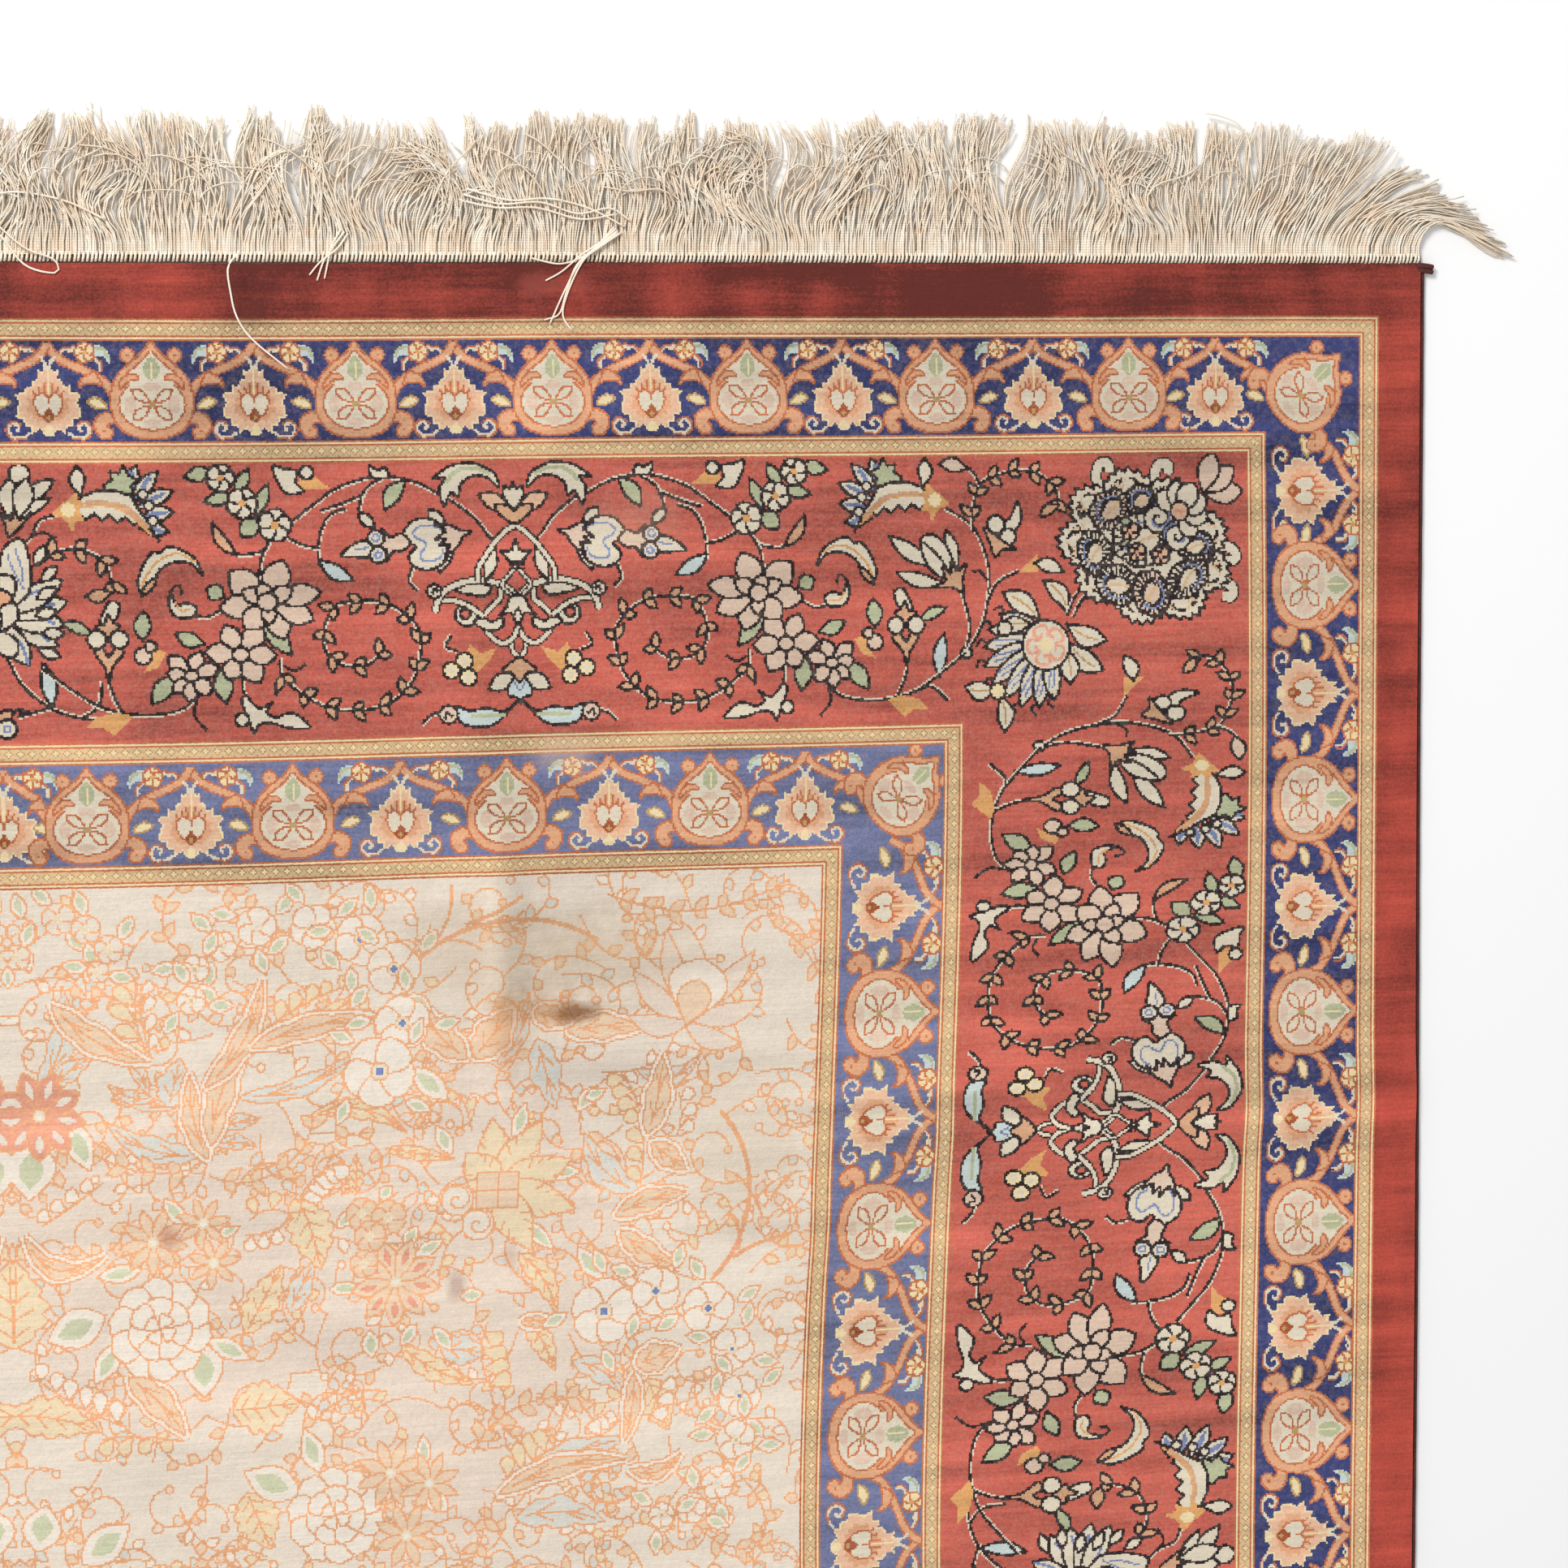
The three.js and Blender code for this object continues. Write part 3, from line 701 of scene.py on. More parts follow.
def border_half(pen):
    """What stands on one side of a cartouche."""
    pen.vine(((35, 54), (28, 49), (21, 43), (15, 35), (11, 31)))
    pen.vine(((40, 56), (54, 63), (71, 66), (84, 64), (97, 59), (107, 52), (119, 43)))
    pen.vine(((71, 65), (79, 60), (83, 51), (83, 46)))
    pen.vine(((82, 56), (92, 52), (104, 48)))
    pen.vine(((91, 49), (99, 46), (104, 38), (106, 28), (106, 20)))
    pen.vine(((106, 28), (115, 30), (126, 36)))
    pen.vine(((131, 33), (136, 27), (146, 25), (150, 26)))
    pen.vine(((131, 33), (136, 24), (138, 12)))
    pen.vine(((160, -5), (166, -8), (173, -7)))
    pen.vine(((171, -48), (180, -57), (200, -60), (221, -56), (236, -47), (252, -35)))
    pen.line(((115, -34), (121, -37), (129, -33)), BLACK)
    pen.line(((127, -40), (131, -50)), BLACK)
    pen.vine(((147, -37), (148, -46), (146, -52)))
    pen.line(((172, -50), (174, -60), (168, -68)), BLACK, 1.6)
    pen.vine(((56, 17), (58, 10), (54, 5)))
    pen.vine(((34, -29), (40, -26), (37, -20)))
    sprig(pen, ((128, -31), (127, -40), (115, -51), (101, -58), (86, -59), (71, -56), (59, -45),
                (54, -32), (54, -17), (64, -6), (76, -1), (88, -1), (98, -3), (104, -14), (104, -26),
                (96, -34), (84, -35), (76, -30), (74, -24)), 14.5, 8.5)
    acanthus(pen.at(8, 60))
    pen.leaf((58, 64), (70, 48), 9, SAGE, BLACK, -0.18)
    pen.shape(((67, 66), (69, 71), (73, 70), (77, 72), (76, 66)), IVORY)
    pen.leaf((84, 47), (76, 39), 6, IVORY)
    pen.leaf((106, 22), (88, 11), 8, AQUA, BLACK, -0.12)
    pen.leaf((149, 25), (162, 43), 6, SPRIG, BLACK, 0.2)
    heart_bud(pen.at(24, 36, -104))
    twin_bud(pen.at(57, 31, -97))
    pen.leaf((139, 46), (132, 63), 7, SAGE)
    pen.leaf((138, 45), (147, 35), 10, SAGE)
    pen.leaf((150, 57), (166, 54), 7, SAGE)
    pen.leaf((149, 58), (142, 71), 7, SAGE)
    pen.leaf((161, 70), (176, 67), 8, SAGE)
    flower(pen.at(129, 41), 9)
    flower(pen.at(146, 53, 20), 8.4)
    flower(pen.at(157, 66.5, 8), 7.6)
    pen.shape(((98, 60), (104, 64), (107, 68), (111, 66), (115, 68), (116, 60), (107, 60)), GOLD, None,
              False)
    pen.shape(((113, 59), (117, 64), (116, 70), (123, 71), (129, 73), (127, 65), (122, 58)), IVORY)
    pen.disc(111, 69, 3.6, IVORY)
    pen.leaf((157, 3), (166, 8), 9, SAGE)
    pen.leaf((138, -13), (122, -29), 9, SAGE, BLACK, 0.12)
    pen.leaf((168, -22), (183, -16), 8, SAGE, BLACK, 0.1)
    pen.leaf((160, -35), (157, -54), 10, SAGE)
    pen.leaf((182, -39), (196, -54), 10, SAGE, BLACK, -0.12)
    rosette(pen.at(149, -28), ROSETTE_B, 4.6, PINK)
    rosette(pen.at(175, -39), ROSETTE_C, 3.6, PINK)
    rosette(pen.at(134, 0), ROSETTE_A, 5.4, PINK, ROSETTE_A_INNER)
    pen.shape(((147, -50), (140, -57), (133, -54), (136, -59), (131, -62), (122, -60), (113, -68),
               (124, -68), (134, -65), (140, -66), (143, -70), (146, -62), (149, -54)), IVORY)
    pen.disc(149, -63, 3.6, IVORY)
    pen.shape(((173, -7), (172, -2), (177, 0), (182, -1), (185, 6), (186, 0), (184, -6), (179, -8)), IVORY)
    pen.line(((185, 5), (183, 9), (180, 9), (179, 5)), BLACK)
    pen.line(((175, -4), (180, -4), (183, 0)), GOLD, 1.4)
    pen.shape(((2, -57), (9, -62), (18, -60), (28, -61), (34, -59), (33, -67), (24, -70), (13, -68)), AQUA)
    pen.line(((9, -64), (18, -64), (27, -64)), SAGE, 2)
    pen.disc(39, -63, 4.8, PINK)
    pen.line(((37, -64), (40, -62), (41, -65)), BLACK)
    pen.vine(((44, -62), (49, -64), (53, -68)))
    blossom(pen.at(32, -39))
    pen.shape(((188, -26), (192, -34), (200, -37), (196, -31), (197, -24)), GOLD, None, False)
    pen.leaf((200, -20), (199, -4), 9, SAGE, BLACK, 0.08)
    pen.disc(200, -28, 4.6, PINK)
    pen.disc(196, -23, 3, PINK)
    berry_bud(pen.at(218, -43))
    pen.vine(((212, -58), (216, -50), (218, -43)))
    thistle(pen.at(242, 48, 90))
    hooked_leaf(pen.at(190, 27))
    pen.shape(((206, -60), (214, -58), (224, -60), (231, -66), (222, -66), (216, -70)), GOLD, None, False)


def corner_half(pen):
    """What stands between a unit and the corner palmette."""
    pen.disc(253, -35, 3.2, IVORY)
    pen.vine(((253, -32), (255, -20), (252, -6), (250, 0)))
    pen.vine(((254, -33), (262, -20), (266, -5), (267, 10), (263, 26), (256, 37), (243, 45)))
    pen.vine(((266, -6), (272, 4), (284, 10)))
    pen.line(((266, 5), (262, 10), (258, 10)), BLACK)
    sprig(pen, ((258, 33), (259, 46), (263, 58), (272, 63), (286, 66), (299, 63), (308, 55), (309, 45)),
          12.5, 8.5)
    pen.vine(((263, 58), (260, 64), (256, 68)))
    pen.leaf((256, 67), (240, 70), 8, PINK, BLACK, 0.1)
    pen.leaf((309, 46), (298, 40), 6, SPRIG, BLACK, 0.15)
    trefoil(pen.at(271, 20))
    pen.shape(((284, 9), (290, 14), (296, 19), (296, 9)), GOLD, None, False)
    pen.leaf((294, 14), (311, 9), 8, IVORY, BLACK, -0.14)
    pen.leaf((237, -48), (240, -24), 8, AQUA, BLACK, -0.08)
    pen.vine(((222, -56), (232, -53), (242, -61)))
    lily(pen.at(252, -2, 36))


# The corner palmette's lobes: place, reach across and along, turn
PALMETTE_LOBES = (
    ((614, 1143), 13, 11, 25), ((604, 1119), 10, 13, 15), ((617, 1101), 13, 11, -30),
    ((637, 1096), 11, 13, 20), ((659, 1104), 14, 10, 35), ((664, 1122), 11, 9, -5),
    ((632, 1148), 9, 9, 0), ((633, 1126), 19, 15, 0),
)
PALMETTE_HORNS = ((607, 1156, 12), (640, 1156, 0), (675, 1121, -84), (675, 1103, -100))
HOOK = ((0, -3), (0, 6), (3, 12), (8, 12), (8, 7))


def corner_palmette(pen):
    """The large palmette in the border's corner, with feathered leaves round its flowers."""
    for x, y, turn in PALMETTE_HORNS:
        horn = pen.at(x, y, turn)
        horn.line(HOOK, BLACK, 7)
        horn.line(HOOK, IVORY, 5)
    body = pen.at(634, 1122, -20)
    body.shape(lobed(51, 41, 9, 0.15, 0.07), IVORY, BLACK, False)
    for k, (x, y) in enumerate(lobed(49, 39, 9, 0.15)):
        inward = -np.array((x, y)) / math.hypot(x, y)
        side = np.array((-inward[1], inward[0])) * (1 if (k // 3) % 2 else -1)
        first = (x, y) + 1.5 * inward
        second = (x, y) + (5.5 + 2 * math.sin(2.1 * k)) * inward + 2.6 * side
        body.line((first, (first + second) / 2 + 0.8 * side, second), BLACK if k % 3 else TAN, 1)
    for number, ((x, y), across, along, turn) in enumerate(PALMETTE_LOBES):
        lobe = pen.at(x, y, turn)
        lobe.shape(lobed(across, along, 7, 0.1, 0.06), IVORY if number % 3 else PINK, BLACK, False)
        for x, y in lobed(across, along, 7, 0.1)[::4]:
            lobe.line(((0.92 * x, 0.92 * y), (0.5 * x, 0.5 * y)), BLACK, 1, False)
        arc = np.linspace(0.7, 3.8, 14) + number
        lobe.line(np.column_stack([across * 0.66 * np.cos(arc), along * 0.66 * np.sin(arc)]), STEEL)
        lobe.line(((-across * 0.4, -along * 0.3), (0, 0), (across * 0.45, along * 0.2)), TAN, 1.6)
        lobe.line(((-across * 0.5, 0), (-across * 0.1, along * 0.4), (across * 0.3, along * 0.5)), BLACK)
    for x, y, turn in ((642, 1138, 0), (653, 1128, 90)):
        swirl = pen.at(x, y, turn)
        swirl.disc(0, 0, 8.4, IVORY)
        swirl.line(spiral(0.5, 8, 26, 1.15), BLACK)
        swirl.line(spiral(3, 7, 12, 1.15, 1), STEEL)
    for x, y in ((625, 1131), (629, 1119), (643, 1117)):
        flower(pen.at(x, y), 5.4, 5, LIGHT_PEACH, FIELD_RED)
    pen.leaf((619, 1137), (626, 1136), 5, SAGE)
    pen.leaf((619, 1123), (625, 1126), 4, SAGE)
    bloom = pen.at(654, 1141, -48)
    for turn, length, width in ((-96, 17, 11), (96, 17, 11), (-52, 18, 12), (52, 18, 12), (-17, 19, 13),
                                (17, 19, 13)):
        bloom.at(turn=turn).petal(length, width, IVORY, BLACK, 1.3, 0, 0.7)
    for turn in (-40, -4, 32):
        bloom.at(2, 18, turn).petal(24, 13, PINK, BLACK, 1.2, 0, 0.85)
    bloom.disc(0, 1, 5.4, LIGHT_PEACH)
    bloom.line(((-2, 0), (2, 2)), FIELD_RED, 2)


def fan_palmette(pen):
    """The palmette beside the corner palmette, with a fan of blue-white petals."""
    for turn, length in ((62, 34), (78, 38), (93, 40), (108, 42), (123, 42), (138, 42), (153, 41), (168, 38),
                         (183, 33)):
        petal = pen.at(577, 1070, turn)
        petal.petal(length, 10.5, IVORY, BLACK, 1.25, 0.06, 0.8)
        for x in (-1.4, 1.4):
            petal.line(((x, 14), (x + 1, 22), (x + 2, length - 7)), STEEL)
        petal.line(((1, length - 3), (4, length + 1), (1, length + 4)), BLACK, 1.4)
    for start, end, width, bow in (((587, 1085), (573, 1104), 10, 0.3), ((586, 1080), (610, 1070), 12, 0.2),
                                   ((571, 1082), (549, 1098), 12, 0.15), ((566, 1080), (547, 1080), 9, 0),
                                   ((587, 1070), (608, 1053), 12, 0.2), ((586, 1066), (588, 1046), 11, -0.1),
                                   ((545, 1045), (526, 1046), 11, -0.25),
                                   ((546, 1041), (549, 1020), 10, -0.2)):
        pen.leaf(start, end, width, IVORY, BLACK, bow, 1.2, OLIVE)
    pen.disc(545, 1043, 4.6, YELLOW)
    pen.disc(549.6, 1078, 4.2, IVORY)
    pen.disc(574, 1068, 14, IVORY)
    for k in range(5):
        angle = math.radians(40 + 72 * k)
        x, y = 574 + 7.4 * math.cos(angle), 1068 + 7.4 * math.sin(angle)
        pen.at(x, y, math.degrees(angle)).line(((-3, -3), (2, -4), (4, 0), (2, 4), (-2, 3), (-1, 0)),
                                               FIELD_RED, 1.6)
    pen.disc(574, 1068, 4, YELLOW, None)
    pen.vine(((590, 1084), (596, 1094), (604, 1098)))
    pen.vine(((587, 1086), (592, 1096), (600, 1101)))


def axis_palmette(pen):
    """The palmette in the middle of a side of the border. y points to the rug's edge."""
    for arm in pen.both():
        for turn, length, width in ((-118, 34, 11), (-98, 34, 12), (-78, 36, 12), (-60, 38, 12),
                                    (-150, 30, 12)):
            arm.at(0, -6, turn).petal(length, width, IVORY, BLACK, 1.3, 0.03, 0.7)
            arm.at(0, -6, turn).line(((-1, 12), (-2, 20), (0, 29)), STEEL, 1.6)
        for k in range(6):
            arm.at(20 + 2 * math.sin(2 * k), -24 + 9 * k, -110 + 16 * k).petal(12, 6, IVORY)
        arm.shape(((0, -2), (14, 4), (17, 16), (15, 30), (11, 35), (4, 31), (1, 22)), IVORY)
        arm.line(((5, 26), (8, 18), (13, 8)), STEEL)
        arm.line(((9, 29), (12, 20), (12, 12)), STEEL)
        arm.shape(((0, 2), (6, 2), (9, 8), (8, 14), (3, 16), (0, 14)), IVORY)
    pen.disc(0, 1, 7.4, PEACH, BLACK)
    pen.disc(0, -12, 4, STEEL, BLACK)
    for turn in (-28, 28):
        pen.at(0, -14, turn).petal(17, 11, IVORY, BLACK, 1.2, 0, 0.7)
        pen.at(0, -14, turn + 180).petal(16, 11, IVORY, BLACK, 1.2, 0, 0.7)


def axis_half(pen):
    """What stands between a unit and the palmette on the axis. x runs from the axis."""
    axis_lily = pen.at(6, 36)
    axis_lily.leaf((5, 14), (24, 30), 8, IVORY, BLACK, -0.1, 1.3)
    axis_lily.leaf((6, 10), (22, 20), 6, IVORY, BLACK, -0.1)
    axis_lily.disc(6, 33, 5.4, IVORY)
    axis_lily.leaf((0, 9), (1, 31), 11, IVORY, BLACK, 0, 1.2)
    axis_lily.leaf((5, 9), (10, 31), 11, IVORY, BLACK, 0, 1.2)
    axis_lily.shape(((0, 0), (-2, 7), (-5, 13), (1, 9), (3, 13), (6, 9), (12, 13), (6, 5)), SPRIG)
    pen.vine(((30, 47), (22, 44), (18, 36), (12, 30)))
    pen.line(((18, 36), (24, 38), (30, 35)), BLACK)
    sprig(pen, ((20, 21), (34, 29), (46, 28), (55, 22), (59, 10), (56, 4)), 14, 9)
    pen.leaf((58, 6), (45, 4), 7, SPRIG, BLACK, -0.12)
    pen.vine(((4, -28), (12, -43), (26, -55), (40, -60), (58, -62)))
    pen.vine(((28, -55), (16, -58), (9, -60)))
    pen.leaf((26, -55), (22, -31), 8, AQUA, BLACK, 0.08)
    pen.shape(((16, -58), (8, -56), (4, -63), (-1, -70), (-1, -60), (2, -56)), SPRIG)
    pen.disc(3, -66, 5, IVORY)
    pen.disc(3, -66, 1.8, None, STEEL)
    pen.vine(((42, -60), (50, -54), (52, -42)))


def draw_main_border(chart):
    chart.clip(MAIN)
    chart.paint(*np.nonzero(chart.band == MAIN), SALMON)
    end_unit = Pen(chart, END_CARTOUCHE, END_MIDDLE)
    top_arm = Pen(chart, SIDE_MIDDLE, SIDE_CARTOUCHES[0], -90, True, SIDE_UP_SCALE)
    arms = list(end_unit.both()) + [top_arm]
    for k, place in enumerate(SIDE_CARTOUCHES):
        unit = Pen(chart, SIDE_MIDDLE, place, -90, False, SIDE_DOWN_SCALE)
        arms += [unit] if k == 0 else list(unit.both())
    axis_half(Pen(chart, 0, END_MIDDLE))
    for place in SIDE_PALMETTES:
        for arm in Pen(chart, SIDE_MIDDLE, place, -90, False, SIDE_DOWN_SCALE).both():
            axis_half(arm)
    corner_half(end_unit)
    corner_half(top_arm)
    for arm in arms:
        border_half(arm)
    cartouche(end_unit)
    for place in SIDE_CARTOUCHES:
        cartouche(Pen(chart, SIDE_MIDDLE, place, -90, False, SIDE_UP_SCALE))
    fan_palmette(Pen(chart))
    corner_palmette(Pen(chart))
    axis_palmette(Pen(chart, 0, END_MIDDLE))
    for place in SIDE_PALMETTES:
        axis_palmette(Pen(chart, SIDE_MIDDLE, place, -90))


# --- field: places in knots from the rug's middle ---------------------------------

def field_leaf(pen, start, end, width):
    """A white leaf with a pale sage heart."""
    pen.leaf(start, end, width, FIELD_WHITE, FIELD_LINE, 0, 0.9)
    near = [a + 0.2 * (b - a) for a, b in zip(start, end)]
    far = [a + 0.82 * (b - a) for a, b in zip(start, end)]
    pen.leaf(near, far, width * 0.52, FIELD_SAGE, None)


def field_flower(pen, radius, core, petals=5, dye=FIELD_WHITE):
    """A pale flower with a ringed heart."""
    flower(pen, radius, petals, dye, YELLOW, FIELD_LINE, 0.45, 1.4)
    pen.disc(0, 0, max(2.2, radius * 0.2), FIELD_WHITE, FIELD_GOLD)
    pen.disc(0, 0, max(1.2, radius * 0.12), core, None)


def star_flower(pen, radius, petals, dye, width=0.34, spots=None):
    """A flower with narrow pointed petals."""
    for k in range(petals):
        petal = pen.at(turn=20 + 360 * k / petals)
        petal.petal(radius, radius * width, dye, FIELD_LINE, 1.2)
        if spots is not None:
            petal.at(0, radius * 0.4).petal(radius * 0.42, radius * 0.16, spots, None)
    pen.disc(0, 0, 2.4, FIELD_WHITE, FIELD_GOLD)


def double_flower(pen, radius):
    """A full white flower with three rings of round petals."""
    for petals, share, wide in ((10, 1.0, 0.62), (7, 0.62, 0.5), (4, 0.3, 0.3)):
        for k in range(petals):
            petal = pen.at(turn=15 * petals + 360 * k / petals)
            petal.petal(radius * share, radius * wide, FIELD_WHITE, FIELD_LINE, 2.2, 0, 0.5)


def plume(pen, points, lengths, lean, width, dye):
    """Rounded lobes on one side of a curved rib."""
    path = curve(points)
    for k, length in enumerate(lengths):
        place = int((k + 0.6) / len(lengths) * (len(path) - 2))
        x, y = path[place]
        turn = facing(path[place + 1] - path[place])
        pen.at(x, y, turn + lean).petal(length, width, dye, FIELD_LINE, 1.7, 0.08, 0.6)
    pen.line(points, FIELD_LINE)


SCROLL_SEED = 7
SCROLL_PITCH = 29  # from one winding stem to the next
SCROLL_LENGTHS = (66, 88)
SCROLL_CURLS = (250, 360)
FIELD_TOP = 952
FIELD_SIDE = 462


def wind(start, turn, length, curl, steps=14, quicken=1.0):
    """The points of a stem that sets off towards turn and bends by curl, both in degrees."""
    s = (np.arange(steps) + 0.5) / steps
    heading = np.radians(turn + curl * s**quicken)
    run = np.column_stack([np.cos(heading), np.sin(heading)]) * length / steps
    return np.vstack([[start], np.array(start) + np.cumsum(run, axis=0)])


def lobed(across, along, lobes, depth, teeth=0.0):
    """A closed outline of round lobes, with small teeth where they are wanted."""
    angle = np.linspace(0, TAU, 12 * lobes, endpoint=False)
    reach = 1 - depth * (1 - np.abs(np.cos(lobes * angle / 2)))
    reach = reach + teeth * (np.arange(len(angle)) % 2)
    return np.column_stack([across * reach * np.cos(angle), along * reach * np.sin(angle)])


def scroll_leaf(pen, start, end, width, dye, bend, lobes, rim=False):
    """A long leaf with lobed edges, a rib and veins. bend bows it, as a share of its length."""
    along = np.subtract(end, start).astype(float)
    across = np.array((-along[1], along[0]))
    s = np.linspace(0, 1, 8 * lobes + 1)
    rib = start + along * s[:, None] + across * (4 * bend * s * (1 - s))[:, None]
    belly = np.sin(math.pi * s**0.8) * (0.76 + 0.24 * np.abs(np.sin(math.pi * lobes * s)))
    half = across / np.hypot(*across) * (width / 2 * belly)[:, None]
    outline = np.vstack([rib + half, (rib - half)[::-1]])
    if rim:
        pen.line(outline, FIELD_LINE, 6, False)
        pen.line(outline, FIELD_WHITE, 4, False)
    pen.shape(outline, dye, FIELD_LINE, False)
    pen.line(rib[3:-3], FIELD_LINE, 1, False)
    for k in range(1, lobes):
        near, far = 8 * k - 3, 8 * k + 2
        for side in (-0.55, 0.55):
            pen.line((rib[near], rib[far] + side * half[far]), FIELD_LINE, 1, False)


def tendril(pen, start, turn, length, curl, leaf):
    """A thin stem that winds up at its end, with small leaves and a bud."""
    path = wind(start, turn, length, curl, 26, 1.9)
    pen.line(path, FIELD_LINE, 1, False)
    for number, place in enumerate((4, 8, 12, 16)):
        x, y = path[place]
        side = 1 if number % 2 else -1
        out = facing(path[place + 1] - path[place]) + side * 52
        pen.at(x, y, out).petal(9.5 - 0.8 * number, 5.6, leaf, FIELD_LINE, 0.9, 0.1 * side)
    pen.disc(*path[-1], 2.2, leaf, FIELD_LINE)


def scrollwork(pen):
    """The fine winding stems that fill the ground between the larger motifs."""
    rng = np.random.default_rng(SCROLL_SEED)
    dyes = (FIELD_PEACH, FIELD_WHITE, FIELD_GOLD, FIELD_PINK, FIELD_AQUA, FIELD_PEACH)
    for row, y in enumerate(np.arange(FIELD_FOLD - 6, FIELD_TOP, SCROLL_PITCH)):
        for column, x in enumerate(np.arange(4 + SCROLL_PITCH / 2 * (row % 2), FIELD_SIDE, SCROLL_PITCH)):
            place = (x + rng.uniform(-4, 4), y + rng.uniform(-4, 4))
            side = 1 if (row + column) % 2 else -1
            turn, length = rng.uniform(0, 360), rng.uniform(*SCROLL_LENGTHS)
            curl = side * rng.uniform(*SCROLL_CURLS)
            tendril(pen, place, turn, length, curl, dyes[(2 * row + column) % len(dyes)])


# Pink grounds: place, reach across and along, number of lobes
FIELD_GROUNDS = ((92, 742, 108, 98, 11), (252, 735, 96, 112, 12), (226, 612, 62, 50, 7))
# Leaves: start, end, width, bow
FIELD_BLUE_LEAVES = (
    ((102, 802), (50, 822), 16, 0.12), ((88, 828), (54, 833), 8, 0), ((76, 833), (51, 842), 8, 0.1),
    ((73, 836), (59, 856), 8, -0.1), ((84, 828), (90, 855), 20, 0), ((13, 838), (28, 896), 15, -0.12),
    ((20, 840), (44, 857), 12, 0.05), ((120, 832), (190, 857), 12, -0.1), ((112, 818), (133, 820), 10, 0),
    ((110, 807), (132, 804), 9, 0.1), ((284, 858), (296, 818), 19, 0), ((345, 770), (312, 805), 18, 0.12),
    ((262, 844), (279, 884), 10, -0.1), ((341, 838), (377, 846), 12, -0.24),
    ((311, 677), (344, 656), 15, 0.1), ((283, 612), (345, 632), 17, 0.05),
    ((280, 590), (332, 585), 20, 0.1), ((236, 688), (263, 684), 18, 0), ((151, 712), (164, 740), 14, 0),
)
FIELD_PEACH_LEAVES = (
    ((105, 799), (95, 846), 13, 0.06), ((107, 806), (126, 861), 15, 0.08),
    ((22, 886), (74, 853), 14, -0.08), ((103, 838), (134, 896), 12, -0.1),
    ((128, 859), (196, 873), 12, 0.05), ((6, 761), (50, 749), 11, -0.3), ((62, 682), (94, 648), 16, 0.05),
    ((250, 848), (270, 875), 20, 0), ((246, 848), (216, 881), 17, 0.06),
    ((301, 861), (343, 861), 15, 0.05), ((282, 873), (303, 866), 13, 0),
    ((348, 802), (355, 846), 15, -0.05), ((332, 757), (372, 769), 13, 0.06),
    ((335, 749), (369, 727), 13, -0.06), ((351, 797), (371, 781), 13, 0), ((347, 673), (371, 681), 17, 0),
    ((270, 604), (343, 620), 12, 0.08), ((345, 614), (375, 622), 9, -0.2),
    ((346, 668), (342, 630), 10, 0.05), ((281, 700), (299, 700), 7, 0),
)
FIELD_GOLD_LEAVES = (
    ((131, 863), (190, 890), 13, -0.08), ((0, 700), (2, 748), 38, 0), ((-5, 664), (46, 654), 24, 0.05),
    ((120, 660), (158, 662), 30, 0), ((128, 614), (141, 581), 27, 0), ((155, 774), (168, 735), 26, 0.04),
    ((127, 702), (147, 739), 20, 0), ((160, 820), (214, 808), 12, 0.16), ((186, 775), (186, 798), 9, 0),
    ((202, 800), (240, 793), 8, 0), ((278, 739), (301, 704), 14, 0.1), ((283, 703), (301, 672), 14, 0.06),
    ((214, 690), (256, 667), 14, -0.06), ((354, 665), (367, 635), 21, 0),
)
# Ribs of plumes: start, direction, length, curl; then the lengths of the lobes, their lean and width
FIELD_LOBES = (
    ((75, 855), 125, 43, -50, (12, 15, 17, 16, 14), 46, 8),
    ((75, 855), 110, 41, -25, (9, 11, 11, 9), -40, 6),
    ((130, 864), 40, 58, -24, (10, 12, 12, 11, 9, 8), 42, 7),
    ((155, 772), 75, 33, -60, (13, 14, 13, 12, 11), -58, 9),
    ((48, 788), 218, 38, -8, (8, 9, 9, 8), -60, 8),
    ((60, 655), 158, 60, -18, (13, 14, 13, 12, 11, 10), -62, 8),
    ((92, 645), 165, 45, 20, (8, 11, 12, 11), 60, 8), ((128, 764), 50, 28, -100, (10, 10, 9), 80, 7),
    ((126, 756), 0, 21, 25, (9, 9, 9), -100, 7), ((346, 806), 100, 34, 28, (11, 12, 12, 11), 62, 8),
    ((345, 770), 82, 33, 12, (11, 12, 12), 50, 8), ((262, 700), 250, 40, 55, (12, 15, 15, 13), 80, 9),
    ((340, 645), 245, 20, -55, (9, 10, 10), -74, 8), ((272, 612), 20, 33, 22, (12, 16, 17, 14), 72, 8),
    ((365, 800), 72, 25, 34, (9, 10, 9), -60, 7), ((355, 640), 66, 25, 14, (10, 11, 10), -60, 8),
)
# White flowers: place, radius, core
FIELD_FLOWERS = (
    ((112, 915), 8.5, TAN), ((98, 903), 8, TAN), ((96, 886), 8, TAN), ((131, 925), 11, FIELD_AQUA),
    ((161, 924), 12.5, FIELD_BLUE), ((187, 916), 14.5, FIELD_BLUE), ((205, 899), 15, FIELD_BLUE),
    ((210, 869), 15.5, FIELD_BLUE), ((198, 843), 20, FIELD_BLUE), ((328, 704), 19, FIELD_BLUE),
    ((357, 714), 14, FIELD_BLUE), ((387, 703), 15, FIELD_BLUE), ((402, 679), 12.5, FIELD_BLUE),
    ((407, 652), 12.5, FIELD_BLUE), ((406, 627), 11.5, TAN), ((396, 603), 9.5, FIELD_AQUA),
    ((381, 590), 9, FIELD_BLUE), ((364, 587), 7.5, TAN),
)
# The spray of ivory flowers on the axis: place, radius
FIELD_SPRAY = (((8, 925), 8), ((27, 932), 9), ((41, 926), 8), ((53, 915), 8), ((5, 912), 7), ((47, 903), 6))
